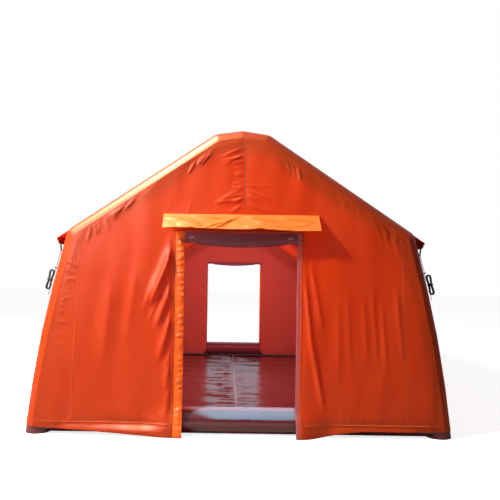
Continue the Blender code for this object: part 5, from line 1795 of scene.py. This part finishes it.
for place_name in ("front", "rear"):
    strips = (
        ("left", -WIDE_EDGE + SEAT_GAP, -DOOR_HALF, 0.0055, strip_cloth, "strip"),
        ("right", NARROW_EDGE - SEAT_GAP, DOOR_HALF, 0.0016, edge_cloth, "curtain"),
    )
    for side_name, outer, inner, ruffle, finish, slot in strips:
        rows = spaced(0, HEM_ROW, 10) + spaced(HEM_ROW, DOOR_TOP - SEAT_GAP, 330)[1:]
        bm = grid(spaced(min(outer, inner), max(outer, inner), 14), rows)
        to_hem(bm)
        place = strip_place(outer, inner, ruffle, 700 + len(side_name))
        hang(bm, place, (0, -1, 0), place_name)
        node = f"{place_name}_{side_name}_door_strip"
        strip = thicken(piece(node + "_sheet", bm, finish, "tent", (node,)))
        round(abs(outer - inner), 3)
        print(strip.name, len(strip.data.polygons), "faces")

# %% [markdown]
# ## Rolled door curtains
#
# By day the door's curtain is rolled up under the door head and held by two
# straps. A roll is one sheet wound on itself about ten times, drawn in where a
# strap goes round it and sagging between the straps. The flat sheet is mapped
# on to a spiral whose length is the curtain's own, so the layers are real.

# %% Rolls
ROLL_HALF = 0.56
ROLL_R = 0.058
ROLL_SAG = 0.028
ROLL_NECK = 0.012
ROLL_Z = DOOR_TOP - 0.052
ROLL_TAIL_Z = DOOR_TOP + 0.08
ROLL_TIE_X = 0.47
TIE_BAND = 0.016
ROLL_TURNS = 10
ROLL_STEPS = 22  # rows of faces in a turn
ROLL_PITCH = 0.0052
ROLL_TAIL = ROLL_TAIL_Z - ROLL_Z


def roll_shape(x):
    """Radius and middle height of the roll at places along it."""
    from_tie = np.maximum(np.abs(np.abs(x) - ROLL_TIE_X) - TIE_BAND, 0)
    between = ROLL_TIE_X - TIE_BAND
    sag = ROLL_SAG * np.cos(np.clip(math.pi * x / (2 * between), -math.pi / 2, math.pi / 2))
    return ROLL_R - ROLL_NECK * np.exp(-((from_tie / 0.035) ** 2)), ROLL_Z - sag


def wound_length(turn):
    """Cloth in the first turns of the spiral."""
    return math.tau * turn * (ROLL_R - ROLL_PITCH * turn / 2)


def roll_place(x, down):
    """Winds the flat curtain up; down is the distance from its top edge."""
    radius, middle = roll_shape(x)
    wound = np.maximum(down - ROLL_TAIL, 0)
    square = np.maximum(ROLL_R**2 - wound * ROLL_PITCH / math.pi, 1e-6)
    turn = (ROLL_R - np.sqrt(square)) / ROLL_PITCH
    crease = 0.0011 * waves(x * 0.6, turn * 0.25, 6, 0.05, 0.16, 3.0, 801)
    spiral = radius * (1 - turn * ROLL_PITCH / ROLL_R) + crease * smooth(turn * 3)
    angle = turn * math.tau
    tail_share = np.clip(down / ROLL_TAIL, 0, 1)
    tail = ROLL_TAIL_Z + (middle - ROLL_TAIL_Z) * tail_share
    depth = SEAT_GAP + np.where(wound > 0, radius - spiral * np.cos(angle), 0.0)
    height = np.where(wound > 0, middle - spiral * np.sin(angle), tail)
    drift = 0.005 * np.sin(turn * 2.3) * (x / ROLL_HALF) ** 3
    return x + drift, -WALL_INSIDE + depth, height


for place_name in ("front", "rear"):
    rows = spaced(0, ROLL_TAIL, 6)
    steps = range(1, ROLL_STEPS * ROLL_TURNS + 1)
    rows += [ROLL_TAIL + wound_length(i / ROLL_STEPS) for i in steps]
    bm = grid(spaced(-ROLL_HALF, ROLL_HALF, 64), rows)
    lay_uv(bm)
    shape(bm, roll_place)
    bmesh.ops.recalc_face_normals(bm, faces=bm.faces)
    bm.transform(turned_to(place_name))
    name = f"{place_name}_door_roll"
    curtain = piece(f"{place_name}_rolled_curtain", bm, curtain_cloth, "tent", (name,))
    thicken(curtain, 0.0012, 0)
    print(curtain.name, round(rows[-1], 2), "m of cloth,", len(curtain.data.polygons), "faces")

# %% [markdown]
# ## Straps
#
# Webbing is flat and keeps its width, so a strap is a ribbon along a path in
# one plane, a few points across. Straps hold the rolls, the guy rings and the
# hanks of cord.

# %% Ribbons of webbing
TIE_W = 0.025
TIE_T = 0.002
WEB_RIB = 0.0002


def ribbon(name, path, low, high, to_tent, finish, body, node, thickness, closed=False):
    """A strap between two edges, along a path of 2-D points that to_tent places."""
    lengths = lengths_along(path)
    bm = grid(spaced(low, high, 6), lengths)
    lay_uv(bm)

    def place(across, along):
        dished = WEB_RIB * np.cos((across - low) / (high - low) * math.pi * 5)
        first, second = (np.interp(along, lengths, [p[axis] for p in path]) for axis in (0, 1))
        return to_tent(across, first + dished, second)

    shape(bm, place)
    if closed:
        bmesh.ops.remove_doubles(bm, verts=bm.verts, dist=1e-5)
    bmesh.ops.recalc_face_normals(bm, faces=bm.faces)
    made = piece(name, bm, finish, body, (node,))
    return thicken(made, thickness, 0)


def roll_tie_path():
    """From the curtain's tail round the back of the roll to its front, (depth, height)."""
    radius, middle = (float(value) for value in roll_shape(np.array(ROLL_TIE_X)))
    gap = SEAT_GAP + TIE_T / 2
    outer = radius + gap
    start = math.acos(1 - (CAD_CLOTH_T + gap) / outer)
    heights = spaced(ROLL_TAIL_Z, middle + outer * 1.05, 6)
    path = [(SEAT_GAP + CAD_CLOTH_T + gap, z) for z in heights]
    for angle in spaced(start + 0.35, math.tau - 0.02, 48):
        depth = SEAT_GAP + radius - outer * math.cos(angle)
        path.append((depth, middle + outer * math.sin(angle)))
    return path


for place_name in ("front", "rear"):
    turn = turned_to(place_name)
    sign = -1 if place_name == "rear" else 1
    for side, side_name in SIDES:
        low, high = side * ROLL_TIE_X - TIE_W / 2, side * ROLL_TIE_X + TIE_W / 2

        def to_tent(across, depth, height, sign=sign):
            return sign * across, sign * (-WALL_INSIDE + depth), height

        node = f"{place_name}_{side_name}_roll_tie"
        path = roll_tie_path()
        ribbon(node + "_strap", path, low, high, to_tent, mauve_webbing, "tent", node, TIE_T)
print("roll ties of", round(path_length(path), 3), "m")

# %% Guy straps and the ties round the hanks
GUY_STRAP_W = 0.034
GUY_STRAP_WRAP = math.radians(285)


def guy_strap_path():
    """From inside the valance down to the loop round the ring's bar, as (x, z)."""
    matrix = guy_frame(1, -GUY_Y)
    loop_r = RING_WIRE_R + 0.0006 + TIE_T / 2
    pivot = matrix @ Vector((GUY_STANDOFF, 0, 0))
    inside = Vector((-math.cos(VALANCE_LEAN), math.sin(VALANCE_LEAN)))
    lie = inside * (SEAT_GAP + TIE_T / 2)
    start = roof_hem + (roof_tip - roof_hem) * 0.45 + lie
    end = roof_hem + lie
    centre = Vector((pivot.x, pivot.z))
    towards = end - centre
    first = math.atan2(towards.y, towards.x) - math.acos(loop_r / towards.length)
    return [tuple(start), tuple(end)] + arc(centre, loop_r, first, first - GUY_STRAP_WRAP, 24)


HANK_TIE_T = 0.0015
HANK_TIE_W = 0.02


def hank_tie_path():
    """A rounded ring round the hank's waist, as (out, along)."""
    grow = CORD_R + SEAT_GAP + HANK_TIE_T / 2
    half_across = HANK_OUTER_R - HANK_WAIST + 0.0026 + grow
    near = -HANK_LAYER_STEP * (HANK_LAYERS - 1) - grow
    far = grow
    middle = STRAND_OUT + HANK_OUTER_R
    low, high = middle - half_across + grow, middle + half_across - grow
    path = []
    for out, along, turn in (
        (high, far - grow, 0),
        (low, far - grow, math.pi / 2),
        (low, near + grow, math.pi),
        (high, near + grow, 1.5 * math.pi),
    ):
        path += arc((out, along), grow, turn, turn + math.pi / 2, 6)
    return path + [path[0]]


for side, side_name in SIDES:
    for place_name, y in GUY_PLACES:

        def to_tent(across, x, z, side=side):
            return side * x, across, z

        node = f"{place_name}_{side_name}_guy_strap"
        low, high = y - GUY_STRAP_W / 2, y + GUY_STRAP_W / 2
        path = guy_strap_path()
        ribbon(node + "_web", path, low, high, to_tent, black_webbing, "tent", node, TIE_T)
    matrix = np.array(guy_frame(side, -GUY_Y))
    middle_z = -HANK_TOP - HANK_OUTER_R - CORD_R - HANK_RUN / 2

    def round_hank(up, out, along, matrix=matrix):
        local = np.stack((out, along, up, np.ones_like(out)))
        return tuple((matrix @ local)[:3])

    node = f"{side_name}_hank_tie"
    low, high = middle_z - HANK_TIE_W / 2, middle_z + HANK_TIE_W / 2
    body = f"front_{side_name}_guy_set"
    path = hank_tie_path()
    ribbon(node + "_web", path, low, high, round_hank, black_webbing, body, node, HANK_TIE_T, True)
print("guy strap of", round(path_length(guy_strap_path()), 3), "m")

# %% [markdown]
# ## Toggles and rings
#
# A toggle is turned on a lathe, so its profile is spun round its axis. The
# guy ring is a bent wire: a straight bar with a half circle under it.

# %% Toggles
TOGGLE_LENGTH = 0.05
TOGGLE_R = 0.006


def toggle_bmesh():
    """A toggle about the Z axis: a profile spun all the way round."""
    half = TOGGLE_LENGTH / 2
    profile = [(0.02 * TOGGLE_R, -half)]
    for a in spaced(0, math.pi / 2, 5):
        radius = TOGGLE_R * (0.6 + 0.4 * math.sin(a))
        profile.append((radius, -half + 0.5 * TOGGLE_R * (1 - math.cos(a))))
    for z in spaced(-0.018, 0.018, 12):
        profile.append((TOGGLE_R * (1 - 0.3 * math.exp(-((z / 0.005) ** 2))), z))
    profile += [(radius, -z) for radius, z in profile[6::-1]]
    bm = bmesh.new()
    verts = [bm.verts.new((radius, 0, z)) for radius, z in profile]
    edges = [bm.edges.new(pair) for pair in zip(verts, verts[1:])]
    bmesh.ops.spin(
        bm,
        geom=verts + edges,
        cent=(0, 0, 0),
        axis=(0, 0, 1),
        angle=math.tau,
        steps=28,
        use_merge=True,
    )
    bmesh.ops.holes_fill(bm, edges=[edge for edge in bm.edges if edge.is_boundary])
    bmesh.ops.recalc_face_normals(bm, faces=bm.faces)
    return bm


for place_name in ("front", "rear"):
    for side, side_name in SIDES:
        node = f"{place_name}_{side_name}_toggle"
        low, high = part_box(node)
        bm = toggle_bmesh()
        bm.transform(Matrix.Translation((low + high) / 2) @ Matrix.Rotation(math.pi / 2, 4, "Y"))
        sharpen(piece(node + "_peg", bm, toggle_plastic, node, (node,)))
print("toggles", TOGGLE_LENGTH, "m long")

# %% Guy rings


def ring_points():
    """The D-ring's wire: a straight bar with a half round hanging from it."""
    corner = RING_CORNER
    points = [(share * (RING_R - corner), 0) for share in (-1, -0.5, 0, 0.5, 1)]
    points += arc((RING_R - corner, -corner), corner, math.pi / 3, 0, 2)
    points += arc((0, -RING_SIDE - corner), RING_R, 0, -math.pi, 24)
    points += arc((-RING_R + corner, -corner), corner, math.pi, math.pi * 2 / 3, 2)
    return [(GUY_STANDOFF, along, up) for along, up in points]


for side, side_name in SIDES:
    for place_name, y in GUY_PLACES:
        matrix = guy_frame(side, y)
        points = [matrix @ Vector(point) for point in ring_points()]
        closed = points + [points[0] + (points[1] - points[0]) * 0.02]
        bm = tube_from_rings(ring_matrices(closed), RING_WIRE_R, 12)
        node = f"{place_name}_{side_name}_guy_ring"
        body = f"front_{side_name}_guy_set" if place_name == "front" else node
        piece(node + "_wire", bm, ring_steel, body, (node,))
print("ring wire", 2 * RING_WIRE_R, "m thick")

# %% [markdown]
# ## Hard parts from the frame
#
# The valves and the sliders already have their real shape in the frame. They
# only need their finish: moulded plastic with fine marks from handling.

# %% Finish the carried-over parts
KEPT = {
    "filling_valve_body": valve_plastic,
    "filling_valve_cap": valve_plastic,
    "filling_valve_stem": toggle_plastic,
    "relief_valve_body": valve_plastic,
    "relief_valve_cap": slider_plastic,
    "left_guy_slider": slider_plastic,
    "right_guy_slider": slider_plastic,
}
for node, finish in KEPT.items():
    for material_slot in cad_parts[node].material_slots:
        material_slot.material = finish
print(len(KEPT), "parts keep the frame's shape")
